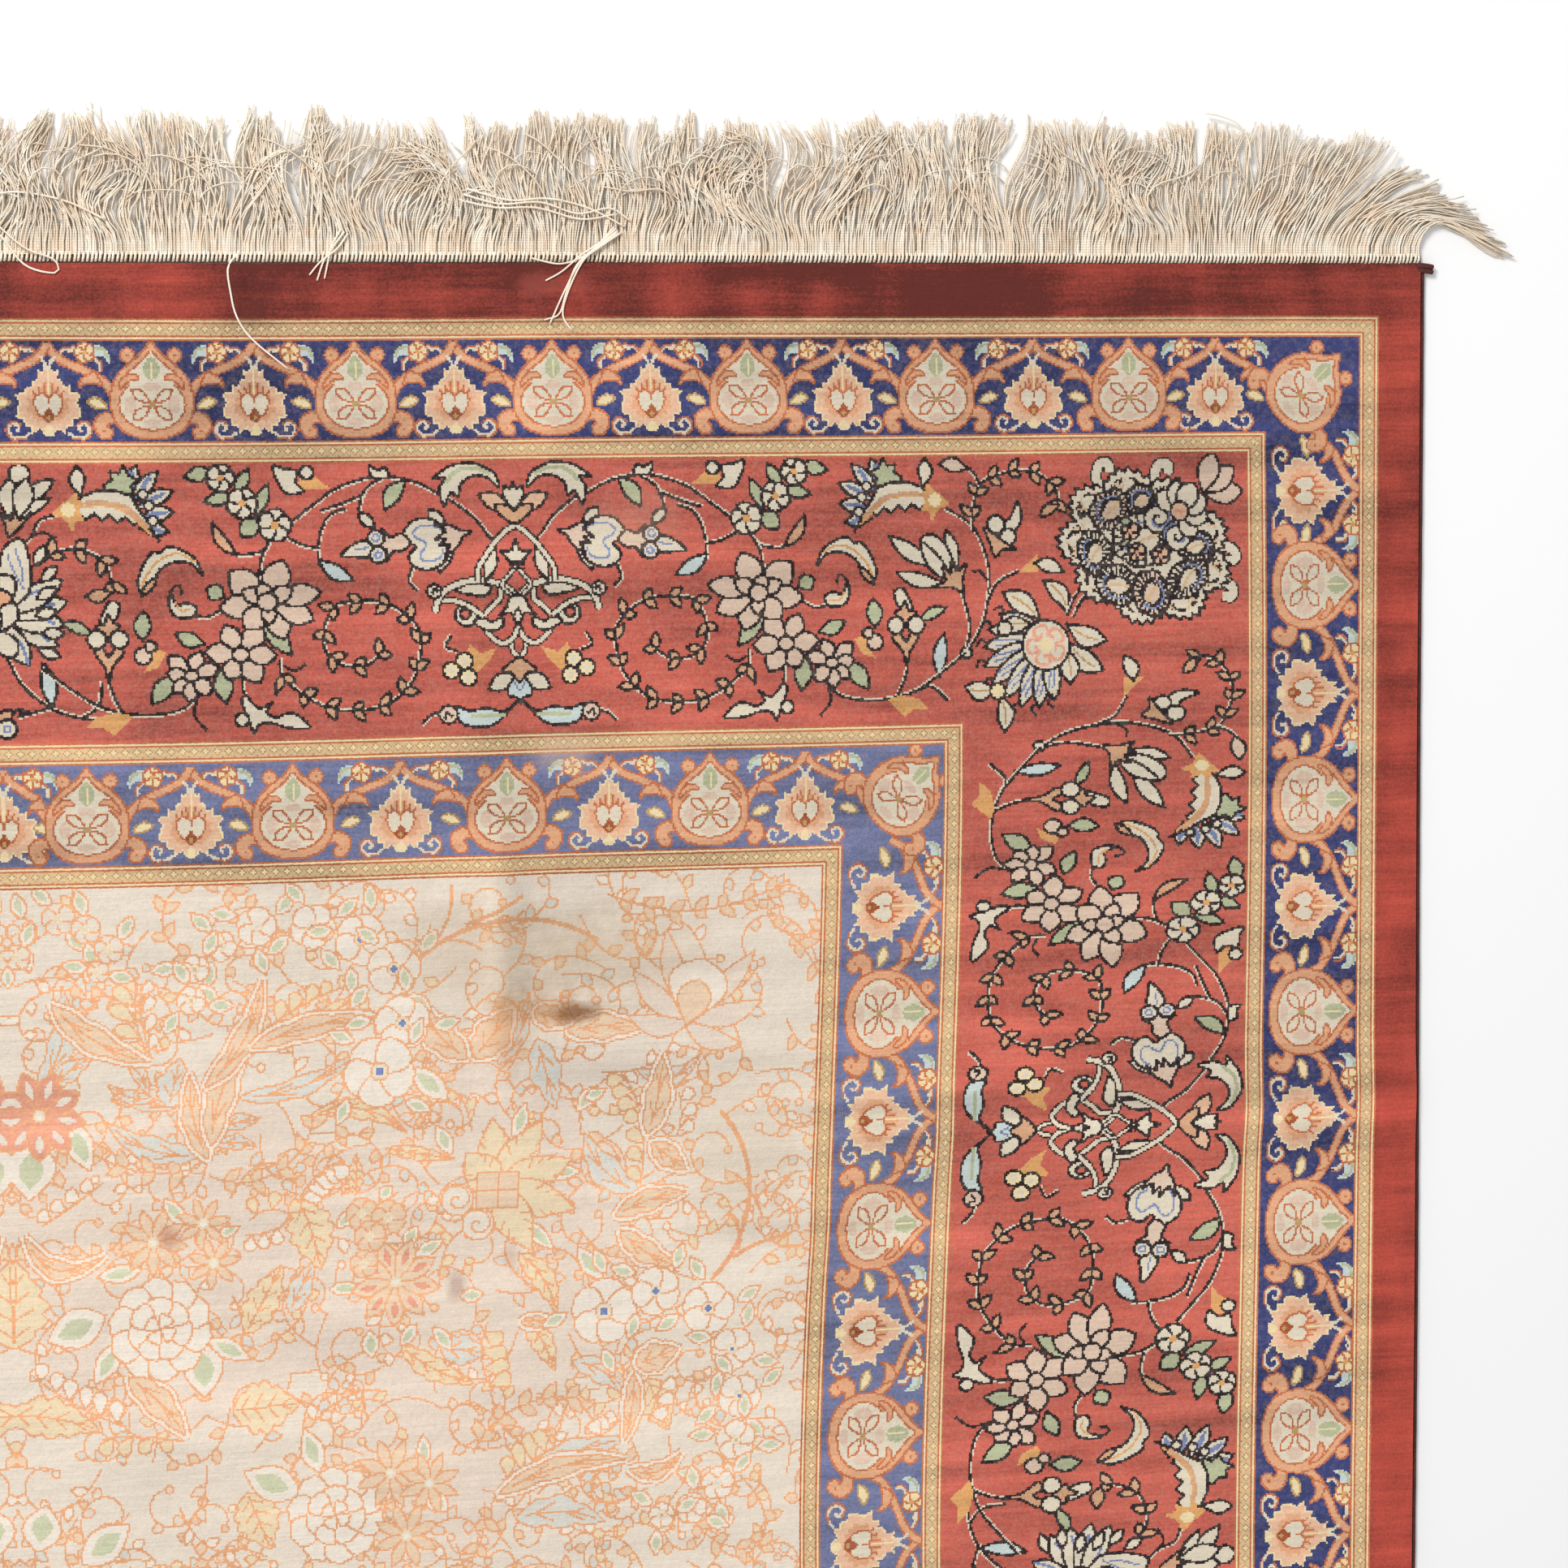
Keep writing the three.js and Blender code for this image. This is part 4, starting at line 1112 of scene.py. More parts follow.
# Single leaves: start, end, width
FIELD_LEAVES = (
    ((31, 823), (42, 795), 15), ((94, 763), (81, 779), 9), ((111, 757), (123, 761), 6),
    ((70, 740), (45, 737), 10), ((58, 701), (44, 679), 13), ((106, 700), (130, 688), 11),
    ((169, 623), (160, 648), 13), ((239, 795), (230, 812), 9), ((273, 802), (279, 823), 9),
    ((290, 783), (312, 783), 9), ((280, 757), (298, 740), 9), ((318, 830), (308, 816), 9),
    ((312, 823), (324, 828), 7), ((326, 722), (311, 741), 11), ((220, 740), (236, 748), 8),
    ((205, 752), (188, 742), 7), ((186, 766), (176, 758), 8), ((200, 772), (206, 780), 8),
    ((214, 745), (221, 757), 8), ((173, 724), (191, 724), 8), ((196, 700), (198, 684), 10),
    ((222, 702), (214, 690), 8), ((232, 700), (243, 686), 8), ((227, 640), (229, 622), 8),
    ((228, 610), (242, 596), 12), ((246, 716), (260, 717), 8), ((50, 716), (18, 703), 22),
    ((103, 699), (105, 668), 22), ((158, 611), (126, 626), 20), ((10, 588), (16, 614), 22),
    ((34, 580), (62, 600), 20), ((12, 814), (9, 780), 26), ((236, 826), (214, 845), 13),
)
# Leafy stems: start, direction, length, curl, spacing and size of the leaves
FIELD_SPRIGS = (
    ((104, 909), 185, 92, -250, 15, 10), ((100, 795), 195, 84, -70, 15, 11),
    ((106, 790), -28, 74, 110, 15, 10), ((322, 936), -25, 104, 55, 14, 10),
    ((424, 912), -40, 112, -80, 15, 10), ((256, 628), 65, 66, -75, 14, 11),
    ((262, 600), -80, 42, -55, 15, 10), ((380, 588), -68, 62, 96, 14, 10),
)
# Brown-orange branches: start, direction, length, curl, width
FIELD_BRANCHES = (
    ((214, 900), 45, 112, -78, 2.6), ((226, 912), 48, 34, 50, 1.8), ((244, 922), 18, 34, 16, 2.2),
    ((262, 925), -22, 19, -44, 1.4), ((232, 914), 2, 22, -36, 1.6), ((388, 719), 45, 104, 88, 2.6),
    ((400, 731), 34, 33, -26, 2), ((403, 735), 78, 22, 54, 2), ((416, 752), 108, 31, 30, 1.8),
    ((420, 762), 66, 19, -30, 1.8),
)


def draw_field(chart):
    """The ivory field. Its block is drawn as it is, mirrored below, and once more below that."""
    chart.clip(FIELD)
    chart.paint(*np.nonzero(chart.band == FIELD), FIELD_IVORY)
    mirrored = Pen(chart, 0, 0, 180, True).at(0, -FIELD_FOLD).at(0, -FIELD_FOLD)
    for pen in (Pen(chart).at(0, -FIELD_REPEAT), mirrored, Pen(chart)):
        field_block(pen)


def flower_leaves(pen, count, radius, phase):
    """The small leaves that stand round a flower."""
    for k in range(count):
        angle = math.radians(phase + 360 * k / count)
        near, far = 1.1 * radius, 1.1 * radius + 15
        start = (near * math.cos(angle), near * math.sin(angle))
        end = (far * math.cos(angle + 0.2), far * math.sin(angle + 0.2))
        field_leaf(pen, start, end, 8)


def field_block(pen):
    """The block of the field that comes back: grounds, scrolls, branches, leaves and flowers."""
    for x, y, across, along, lobes in FIELD_GROUNDS:
        pen.at(x, y).shape(lobed(across, along, lobes, 0.14), FIELD_PINK, FIELD_LINE, False)
    scrollwork(pen)
    for start, turn, length, curl, width in FIELD_BRANCHES:
        path = wind(start, turn, length, curl)
        pen.line(path, FIELD_LINE, width)
        pen.line(path[2:5], FIELD_RED, 1)
    for start, end, width, bow in FIELD_BLUE_LEAVES:
        scroll_leaf(pen, start, end, width, FIELD_AQUA, bow, 3)
    for start, end, width, bow in FIELD_GOLD_LEAVES:
        scroll_leaf(pen, start, end, width, FIELD_GOLD, bow, 5)
    for start, turn, length, curl, lengths, lean, width in FIELD_LOBES:
        plume(pen, wind(start, turn, length, curl, 5), lengths, lean, width,
              FIELD_GOLD if lean > 0 else FIELD_WHITE)
    for start, end, width, bow in FIELD_PEACH_LEAVES:
        scroll_leaf(pen, start, end, width, FIELD_PEACH, bow, 3, True)
    for start, turn, length, curl, spacing, size in FIELD_SPRIGS:
        sprig(pen, wind(start, turn, length, curl), spacing, size, FIELD_PEACH, FIELD_LINE)
    for start, end, width in FIELD_LEAVES:
        field_leaf(pen, start, end, width)
    for number, (place, radius, core) in enumerate(FIELD_FLOWERS):
        flower_leaves(pen.at(*place), 4 if radius > 11 else 3, radius, 50 * number)
        field_flower(pen.at(*place, 37 * radius), radius, core)
    for place, radius in FIELD_SPRAY:
        flower_leaves(pen.at(*place), 2, 0.8 * radius, 11 * place[0])
        field_flower(pen.at(*place), radius, FIELD_GOLD, 5, FIELD_IVORY)
    double_flower(pen.at(80, 707), 29)
    double_flower(pen.at(178, 598), 28)
    star_flower(pen.at(15, 826), 25, 9, FIELD_RED, 0.5, FIELD_IVORY)
    star_flower(pen.at(76, 755), 19, 9, FIELD_PEACH)
    star_flower(pen.at(103, 764), 15, 7, FIELD_PEACH)
    star_flower(pen.at(109, 742), 15, 7, FIELD_PEACH)
    star_flower(pen.at(210, 726), 25, 9, FIELD_PEACH, 0.42, FIELD_RED)
    star_flower(pen.at(209, 620), 20, 8, FIELD_PEACH)
    star_flower(pen.at(231, 613), 18, 8, FIELD_PEACH)
    star_flower(pen.at(218, 584), 19, 8, FIELD_PEACH)
    for place, radius in (((190, 765), 9), ((205, 762), 10), ((195, 752), 9), ((192, 737), 8)):
        field_flower(pen.at(*place), radius, FIELD_GOLD, 5, FIELD_PEACH)
    gold_rosette(pen.at(265, 775))
    pink_lily(pen.at(368, 862, -15))


def gold_rosette(pen):
    """A star of gold leaves round four squares, with two spirals beside it."""
    for turn, length in ((6, 40), (-32, 44), (-70, 44), (-106, 46), (-150, 40), (42, 28)):
        leaf = pen.at(turn=turn)
        leaf.petal(length, 21, FIELD_GOLD, FIELD_LINE, 0.8)
        for side in (-1, 1):
            for k in range(3):
                near = (side * 5, length * (0.45 + 0.13 * k))
                far = (side * (10 - 2 * k), length * (0.55 + 0.14 * k))
                leaf.line((near, far), FIELD_LINE)
    pen.shape(((-12, -11), (-12, 9), (11, 9), (11, -11)), FIELD_PEACH, FIELD_LINE, False)
    pen.line(((0, -11), (0, 9)), FIELD_LINE, 1, False)
    pen.line(((-12, -1), (11, -1)), FIELD_LINE, 1, False)
    for x, y in ((-22, -5), (-10, -19)):
        swirl = pen.at(x, y)
        swirl.disc(0, 0, 9, FIELD_IVORY, FIELD_LINE)
        swirl.line(spiral(0.6, 9, 30), FIELD_LINE)


def pink_lily(pen):
    """The large open bloom near the field's corner, facing along this pen's y."""
    for side in (-1, 1):
        for turn, length, width, bend in ((100, 38, 12, 0.25), (66, 46, 13, 0.18), (34, 54, 13, 0.12)):
            pen.at(side * 4, 4, side * turn).petal(length, width, FIELD_PINK, FIELD_LINE, 1.1, -side * bend)
        for turn in (48, 16):
            pen.at(side * 5, 20, side * turn).petal(17, 11, FIELD_GOLD, FIELD_LINE, 1.4, 0, 0.7)
    pen.petal(38, 34, FIELD_WHITE, FIELD_LINE, 1.5, 0, 0.7)
    pen.petal(26, 19, FIELD_PEACH, FIELD_LINE, 1.4, 0, 0.7)


def draw_chart():
    chart = Chart()
    chart.paint(*np.nonzero(chart.band == PLAIN), RUST)
    for band in (STRIPE_1, STRIPE_2, STRIPE_3, STRIPE_4):
        draw_stripe(chart, band)
    draw_field(chart)
    draw_guard(chart, GUARD, NAVY, *OUTER_GUARD_PLACES)
    draw_guard(chart, INNER_GUARD, FADED_BLUE, *INNER_GUARD_PLACES)
    draw_main_border(chart)
    return chart


# ---------------------------------------------------------------------------
# Shape of the cloth
# ---------------------------------------------------------------------------
def side_wobble(y, side):
    t = y / HALF_LENGTH * math.pi
    return -SIDE_WOBBLE * (0.5 + 0.3 * np.sin(2.3 * t + side) + 0.2 * np.sin(5.1 * t + 2 * side))


def end_wobble(x, end):
    t = x / HALF_WIDTH * math.pi
    return -END_WOBBLE * (0.5 + 0.3 * np.sin(1.7 * t + end) + 0.2 * np.sin(4.3 * t - end))


def ripple_height(x, y):
    height = np.zeros_like(x)
    for r in RIPPLES:
        turn = math.radians(r["turn"])
        along = (x - r["x"]) * math.cos(turn) + (y - r["y"]) * math.sin(turn)
        across = (y - r["y"]) * math.cos(turn) - (x - r["x"]) * math.sin(turn)
        height += r["high"] * np.exp(-(along / r["long"])**2 - (across / r["wide"])**2)
    return height


def cloth_place(u, v):
    """Where a knot of the flat cloth, u across and v along, lies on the floor."""
    reach_x = HALF_WIDTH - SELVEDGE_DIAMETER - FIT_GAP + side_wobble(v, np.where(u < 0, -1, 1))
    reach_y = HALF_LENGTH + end_wobble(u, np.where(v < 0, -1, 1))
    x = u / HALF_WIDTH * reach_x
    y = v / HALF_LENGTH * reach_y
    # The pattern leans to and fro along the rug, and its lines waver, but its edges keep their place
    lean = LEAN * np.sin(math.pi * (v - LEAN_START) / LEAN_LENGTH) - LEAN_OFFSET
    x += lean * np.sin(math.pi * np.abs(u) / HALF_WIDTH) * (1 - np.abs(v / HALF_LENGTH)**8)
    inside = (1 - (u / HALF_WIDTH)**2) * (1 - (v / HALF_LENGTH)**2)
    x += inside * WAVER * (np.sin(v / 170 + 0.8) + 0.6 * np.sin(v / 61 + u / 240))
    y += inside * WAVER * (np.sin(u / 150 + 2.1) + 0.6 * np.sin(u / 57 - v / 300))
    return x, y


def grid_faces(rows, columns):
    """Quads of a grid of rows by columns points."""
    index = np.arange(rows * columns).reshape(rows, columns)
    return np.stack([index[:-1, :-1], index[:-1, 1:], index[1:, 1:], index[1:, :-1]], -1).reshape(-1, 4)


def new_object(name, vertices, faces, material):
    mesh = bpy.data.meshes.new(name)
    mesh.from_pydata([tuple(v) for v in vertices], [], [tuple(f) for f in faces])
    mesh.update()
    piece = bpy.data.objects.new(name, mesh)
    bpy.context.scene.collection.objects.link(piece)
    if material is not None:
        mesh.materials.append(material)
    return piece


# ---------------------------------------------------------------------------
# Knots of a face as numbers: each face is CELL by CELL knots. It keeps up to 8 dyes of its own, and for
# each row of knots one whole number whose base-8 digits say which of them each knot has.
# ---------------------------------------------------------------------------
LOCAL_DYES = 8
DYE_BASE = 32  # four numbers of dyes are packed into one number in this base
NO_ROW = 9000


def face_numbers(block):
    """(rows of digits, two numbers with four dyes each) for a block of knots of one face."""
    dyes, counts = np.unique(block, return_counts=True)
    if len(dyes) > LOCAL_DYES:
        kept = dyes[np.argsort(-counts)[:LOCAL_DYES]]
        block = np.where(np.isin(block, kept), block, kept[0])
        dyes = np.sort(kept)
    digits = np.searchsorted(dyes, block)
    rows = (digits * float(LOCAL_DYES)**np.arange(CELL)[None, :]).sum(1)
    padded = np.concatenate([dyes, np.zeros(LOCAL_DYES - len(dyes), int)])
    power = float(DYE_BASE)**np.arange(4)
    return rows, (padded[:4] * power).sum(), (padded[4:] * power).sum()


def chart_numbers(chart):
    """The numbers of every face of the quarter, as an array of (face row, face column, 10)."""
    rows, columns = HALF_LENGTH // CELL, HALF_WIDTH // CELL
    numbers = np.zeros((rows, columns, CELL + 2))
    for j in range(rows):
        for i in range(columns):
            block = chart.knots[j * CELL:(j + 1) * CELL, i * CELL:(i + 1) * CELL]
            digits, first, second = face_numbers(block)
            numbers[j, i, :CELL] = digits
            numbers[j, i, CELL:] = first, second
    return numbers


# ---------------------------------------------------------------------------
# Materials
# ---------------------------------------------------------------------------
def linear(srgb):
    return tuple((c / 255 / 12.92) if c / 255 <= 0.04045 else ((c / 255 + 0.055) / 1.055)**2.4 for c in srgb)


class Nodes:
    """Short names for the nodes of one material."""

    def __init__(self, name):
        self.material = bpy.data.materials.new(name)
        self.material.use_nodes = True
        self.tree = self.material.node_tree
        self.shader = self.tree.nodes["Principled BSDF"]

    def add(self, kind, **settings):
        node = self.tree.nodes.new(kind)
        for key, value in settings.items():
            setattr(node, key, value)
        return node

    def put(self, socket, value):
        if isinstance(value, bpy.types.NodeSocket):
            self.tree.links.new(value, socket)
        else:
            socket.default_value = value

    def math(self, operation, a, b=0.0, c=0.0):
        node = self.add("ShaderNodeMath", operation=operation)
        for socket, value in zip(node.inputs, (a, b, c)):
            self.put(socket, value)
        return node.outputs[0]

    def vector(self, operation, a, b=(0, 0, 0)):
        node = self.add("ShaderNodeVectorMath", operation=operation)
        self.put(node.inputs[0], a)
        self.put(node.inputs[1], b)
        return node.outputs["Value" if operation in ("DOT_PRODUCT", "LENGTH") else "Vector"]

    def attribute(self, name):
        return self.add("ShaderNodeAttribute", attribute_name=name).outputs["Vector"]

    def noise(self, where, scale, detail, rough, output="Fac"):
        node = self.add("ShaderNodeTexNoise")
        self.put(node.inputs["Vector"], where)
        node.inputs["Scale"].default_value = scale
        node.inputs["Detail"].default_value = detail
        node.inputs["Roughness"].default_value = rough
        return node.outputs[output]

    def spread(self, value, low, high, new_low, new_high):
        node = self.add("ShaderNodeMapRange")
        self.put(node.inputs["Value"], value)
        names = ("From Min", "From Max", "To Min", "To Max")
        for name, number in zip(names, (low, high, new_low, new_high)):
            node.inputs[name].default_value = number
        return node.outputs["Result"]

    def ramp(self, factor, stops, interpolation="LINEAR"):
        node = self.add("ShaderNodeValToRGB")
        self.put(node.inputs["Fac"], factor)
        node.color_ramp.interpolation = interpolation
        elements = node.color_ramp.elements
        while len(elements) < len(stops):
            elements.new(1.0)
        for element, (place, colour) in zip(elements, stops):
            element.position = place
            element.color = (*colour, 1)
        return node.outputs["Color"]

    def mix(self, factor, a, b, blend="MIX"):
        node = self.add("ShaderNodeMix", data_type="RGBA", blend_type=blend)
        self.put(node.inputs["Factor"], factor)
        self.put(node.inputs[6], a)
        self.put(node.inputs[7], b)
        return node.outputs[2]

    def stretch(self, where, scale):
        node = self.add("ShaderNodeMapping")
        self.put(node.inputs["Vector"], where)
        node.inputs["Scale"].default_value = scale
        return node.outputs["Vector"]

    def bump(self, height, distance, strength):
        node = self.add("ShaderNodeBump")
        self.put(node.inputs["Height"], height)
        node.inputs["Distance"].default_value = distance
        node.inputs["Strength"].default_value = strength
        return node.outputs["Normal"]


def knot_dye(nodes, where):
    """The number of the dye of the knot that is shaded. The knots' edges are a little ragged."""
    uv = nodes.add("ShaderNodeUVMap", uv_map="knots").outputs["UV"]
    ragged = nodes.vector("SUBTRACT", nodes.noise(where, 900, 1, 0.5, "Color"), (0.5, 0.5, 0.5))
    uv = nodes.vector("ADD", uv, nodes.vector("MULTIPLY", ragged, (KNOT_RAGGEDNESS,) * 3))
    parts = nodes.add("ShaderNodeSeparateXYZ")
    nodes.put(parts.inputs[0], uv)
    column, row = (
        nodes.math("MAXIMUM", nodes.math("MINIMUM", nodes.math("FLOOR", parts.outputs[k]), CELL - 1), 0)
        for k in (0, 1))
    same = nodes.add("ShaderNodeCombineXYZ")
    for socket in same.inputs:
        nodes.put(socket, row)
    picked = None
    for name, places in (("rows_a", (0, 1, 2)), ("rows_b", (3, 4, 5)), ("rows_c", (6, 7, NO_ROW))):
        near = nodes.vector("ABSOLUTE", nodes.vector("SUBTRACT", same.outputs[0], places))
        weight = nodes.vector("MAXIMUM", nodes.vector("SUBTRACT", (1, 1, 1), near), (0, 0, 0))
        part = nodes.vector("DOT_PRODUCT", weight, nodes.attribute(name))
        picked = part if picked is None else nodes.math("ADD", picked, part)
    power = nodes.math("POWER", float(LOCAL_DYES), nodes.math("MULTIPLY", column, -1.0))
    shifted = nodes.math("MULTIPLY", picked, power)
    digit = nodes.math("FLOORED_MODULO", nodes.math("FLOOR", shifted), float(LOCAL_DYES))
    low = nodes.add("ShaderNodeSeparateXYZ")
    nodes.put(low.inputs[0], nodes.attribute("dyes"))
    second = nodes.math("GREATER_THAN", digit, 3.5)
    first_part = nodes.math("MULTIPLY", low.outputs[0], nodes.math("SUBTRACT", 1.0, second))
    packed = nodes.math("MULTIPLY_ADD", low.outputs[1], second, first_part)
    place = nodes.math("MULTIPLY_ADD", second, -4.0, digit)
    power = nodes.math("POWER", float(DYE_BASE), nodes.math("MULTIPLY", place, -1.0))
    shifted = nodes.math("MULTIPLY", packed, power)
    return nodes.math("FLOORED_MODULO", nodes.math("FLOOR", shifted), float(DYE_BASE))


def spot(nodes, where, ragged, x, y, wide, high):
    """1 in the middle of a soft-edged spot on the rug, 0 outside it."""
    away = nodes.vector("MULTIPLY", nodes.vector("SUBTRACT", where, (x * MM, y * MM, 0)),
                        (1 / (wide * MM), 1 / (high * MM), 0))
    far = nodes.math("ADD", nodes.vector("LENGTH", away), ragged)
    return nodes.spread(far, 0.35, 1.15, 1.0, 0.0)


def pile_material():
    nodes = Nodes("silk_pile")
    where = nodes.add("ShaderNodeTexCoord").outputs["Object"]
    dye = knot_dye(nodes, where)
    stops = [((k - 0.25) / DYE_BASE if k else 0.0, linear(DYES[name])) for k, name in enumerate(DYE_NAMES)]
    factor = nodes.math("DIVIDE", nodes.math("ADD", dye, 0.25), float(DYE_BASE))
    colour = nodes.ramp(factor, stops, "CONSTANT")

    # Tones of the silk: tufts, rows of knots, bands of another dye lot, and painted sheen and shade in
    # patches where the pile lies over
    grain = nodes.noise(where, 620, 2, 0.7)
    rows = nodes.noise(nodes.stretch(where, (26, 520, 1)), 1.0, 3, 0.65)
    lots = nodes.noise(nodes.stretch(where, (5, 52, 1)), 1.0, 3, 0.6)
    # painted sheen and shade: the pile is lighter where it lies over towards the light and darker where it
    # lies away
    patches = nodes.noise(nodes.stretch(where, (1, 1.7, 1)), 10, 4, 0.6)
    tone = nodes.spread(grain, 0.25, 0.75, -0.3, 0.3)
    for wave, low, share in ((rows, 0.3, 0.16), (lots, 0.36, 0.28), (patches, 0.36, 0.2)):
        tone = nodes.math("ADD", tone, nodes.spread(wave, low, 1 - low, -share, share))
    depth = nodes.add("ShaderNodeRGBToBW")
    nodes.put(depth.inputs["Color"], colour)
    tone = nodes.math("MULTIPLY", tone, nodes.spread(depth.outputs[0], 0.05, 0.7, 1.0, 0.2))
    place = nodes.add("ShaderNodeSeparateXYZ")
    nodes.put(place.inputs[0], where)
    side, end = (nodes.math("ABSOLUTE", place.outputs[k]) for k in (0, 1))
    plain_end = nodes.spread(end, *PLAIN_END_EDGE, 0.0, 1.0)
    plain_side = nodes.spread(side, *PLAIN_SIDE_EDGE, 0.0, 1.0)
    plain = nodes.math("MAXIMUM", plain_end, plain_side)
    # Painted sheen: lighter and darker satin patches on the plain band
    painted_satin_sheen = nodes.spread(nodes.noise(nodes.stretch(where, (1, 0.45, 1)), 26, 3, 0.6), 0.25, 0.75, -0.4, 0.4)
    tone = nodes.math("ADD", tone, nodes.math("MULTIPLY", plain, painted_satin_sheen))
    # Painted shade: the plain band along the ends is made darker
    tone = nodes.math("ADD", tone, nodes.math("MULTIPLY", plain_end, -0.3))
    # Painted light: the plain band along the sides is made lighter, more so further from the ends
    painted_side_light = nodes.math("MULTIPLY", plain_side, side)
    painted_side_light = nodes.math("MULTIPLY", painted_side_light, nodes.spread(end, 0.5, 1.15, 0.6, 0.0))
    tone = nodes.math("ADD", tone, painted_side_light)
    # Painted shade: the pile is a little lighter nearer the middle and darker towards the rug's ends
    tone = nodes.math("ADD", tone, nodes.spread(end, 0.7, 1.15, 0.07, -0.12))
    tone = nodes.math("MAXIMUM", nodes.math("ADD", tone, 1.0), 0.36)
    colour = nodes.mix(1.0, colour, tone, "MULTIPLY")

    ragged = nodes.spread(nodes.noise(where, 60, 4, 0.65), 0.2, 0.8, -0.45, 0.45)
    # Stains, and two spots of painted sheen and painted highlight on the plain end band
    for x, y, wide, high, strength, spot_colour in STAINS_AND_SHEEN_SPOTS:
        mask = nodes.math("MULTIPLY", spot(nodes, where, ragged, x, y, wide, high), strength)
        colour = nodes.mix(mask, colour, (*linear(spot_colour), 1))
    # Painted shade and painted highlight along the folds: the colour is multiplied by each spot's tone
    for x, y, wide, high, factor in PAINTED_FOLD_SHADING:
        mask = spot(nodes, where, nodes.math("MULTIPLY", ragged, 0.4), x, y, wide, high)
        shade = nodes.spread(mask, 0.0, 1.0, 1.0, factor)
        colour = nodes.mix(1.0, colour, shade, "MULTIPLY")
    worn = nodes.spread(nodes.noise(where, 340, 2, 0.75), 0.45, 0.75, 0.0, 0.18)
    worn = nodes.math("MULTIPLY", worn, nodes.math("SUBTRACT", 1.0, nodes.math("MULTIPLY", plain, 0.95)))
    colour = nodes.mix(worn, colour, (*linear(WORN_FIBRE), 1))
    nodes.put(nodes.shader.inputs["Base Color"], colour)
    nodes.shader.inputs["Roughness"].default_value = PILE_ROUGHNESS
    nodes.shader.inputs["Specular IOR Level"].default_value = PILE_SPECULAR
    nodes.shader.inputs["Sheen Weight"].default_value = PILE_SHEEN
    nodes.shader.inputs["Sheen Roughness"].default_value = PILE_SHEEN_ROUGHNESS
    height = nodes.math("ADD", nodes.math("MULTIPLY", nodes.noise(where, 900, 2, 0.6), 0.5), rows)
    height = nodes.math("ADD", height, nodes.math("MULTIPLY", nodes.noise(where, 120, 3, 0.6), 2.0))
    nodes.put(nodes.shader.inputs["Normal"], nodes.bump(height, 0.0005, 0.7))
    return nodes.material


def pile_panel(name, columns, rows, numbers, material):
    """The pile over a block of faces. columns and rows are ranges of face numbers from the rug's middle."""
    u = np.array([c * CELL for c in range(columns.start, columns.stop + 1)], float)
    v = np.array([r * CELL for r in range(rows.start, rows.stop + 1)], float)
    uu, vv = np.meshgrid(u, v)
    x, y = cloth_place(uu, vv)
    z = CLOTH_THICKNESS + ripple_height(x, y)
    quads = grid_faces(len(v), len(u))
    piece = new_object(name, np.stack([x, y, z], -1).reshape(-1, 3) * MM, quads, material)
    mesh = piece.data
    mirrored_column = [c if c >= 0 else -c - 1 for c in range(columns.start, columns.stop)]
    mirrored_row = [r if r >= 0 else -r - 1 for r in range(rows.start, rows.stop)]
    own = numbers[np.ix_(mirrored_row, mirrored_column)].reshape(-1, CELL + 2)
    blank = np.zeros((len(own), 1))
    last_rows, dyes = (np.hstack([own[:, k:k + 2], blank]) for k in (6, 8))
    for label, values in (("rows_a", own[:, 0:3]), ("rows_b", own[:, 3:6]), ("rows_c", last_rows),
                          ("dyes", dyes)):
        attribute = mesh.attributes.new(label, "FLOAT_VECTOR", "FACE")
        attribute.data.foreach_set("vector", values.astype(np.float32).ravel())
    flip_u = np.tile([c < 0 for c in range(columns.start, columns.stop)], len(mirrored_row))
    flip_v = np.repeat([r < 0 for r in range(rows.start, rows.stop)], len(mirrored_column))
    corner = np.tile(np.array(((0, 0), (1, 0), (1, 1), (0, 1)), float), (len(own), 1, 1))
    corner[flip_u, :, 0] = 1 - corner[flip_u, :, 0]
    corner[flip_v, :, 1] = 1 - corner[flip_v, :, 1]
    layer = mesh.uv_layers.new(name="knots")
    layer.data.foreach_set("uv", (corner * CELL).astype(np.float32).ravel())
    mesh.polygons.foreach_set("use_smooth", np.ones(len(quads), bool))
    return piece


def make_pile(numbers):
    material = pile_material()
    half_columns, half_rows = HALF_WIDTH // CELL, HALF_LENGTH // CELL
    pieces = []
    wide, long = 2 * half_columns // PANELS_ACROSS, 2 * half_rows // PANELS_ALONG
    for a in range(PANELS_ACROSS):
        for b in range(PANELS_ALONG):
            columns = range(-half_columns + a * wide, -half_columns + (a + 1) * wide)
            rows = range(-half_rows + b * long, -half_rows + (b + 1) * long)
            name = f"pile_{'left' if a == 0 else 'right'}_{b + 1}"
            pieces.append(pile_panel(name, columns, rows, numbers, material))
    return pieces


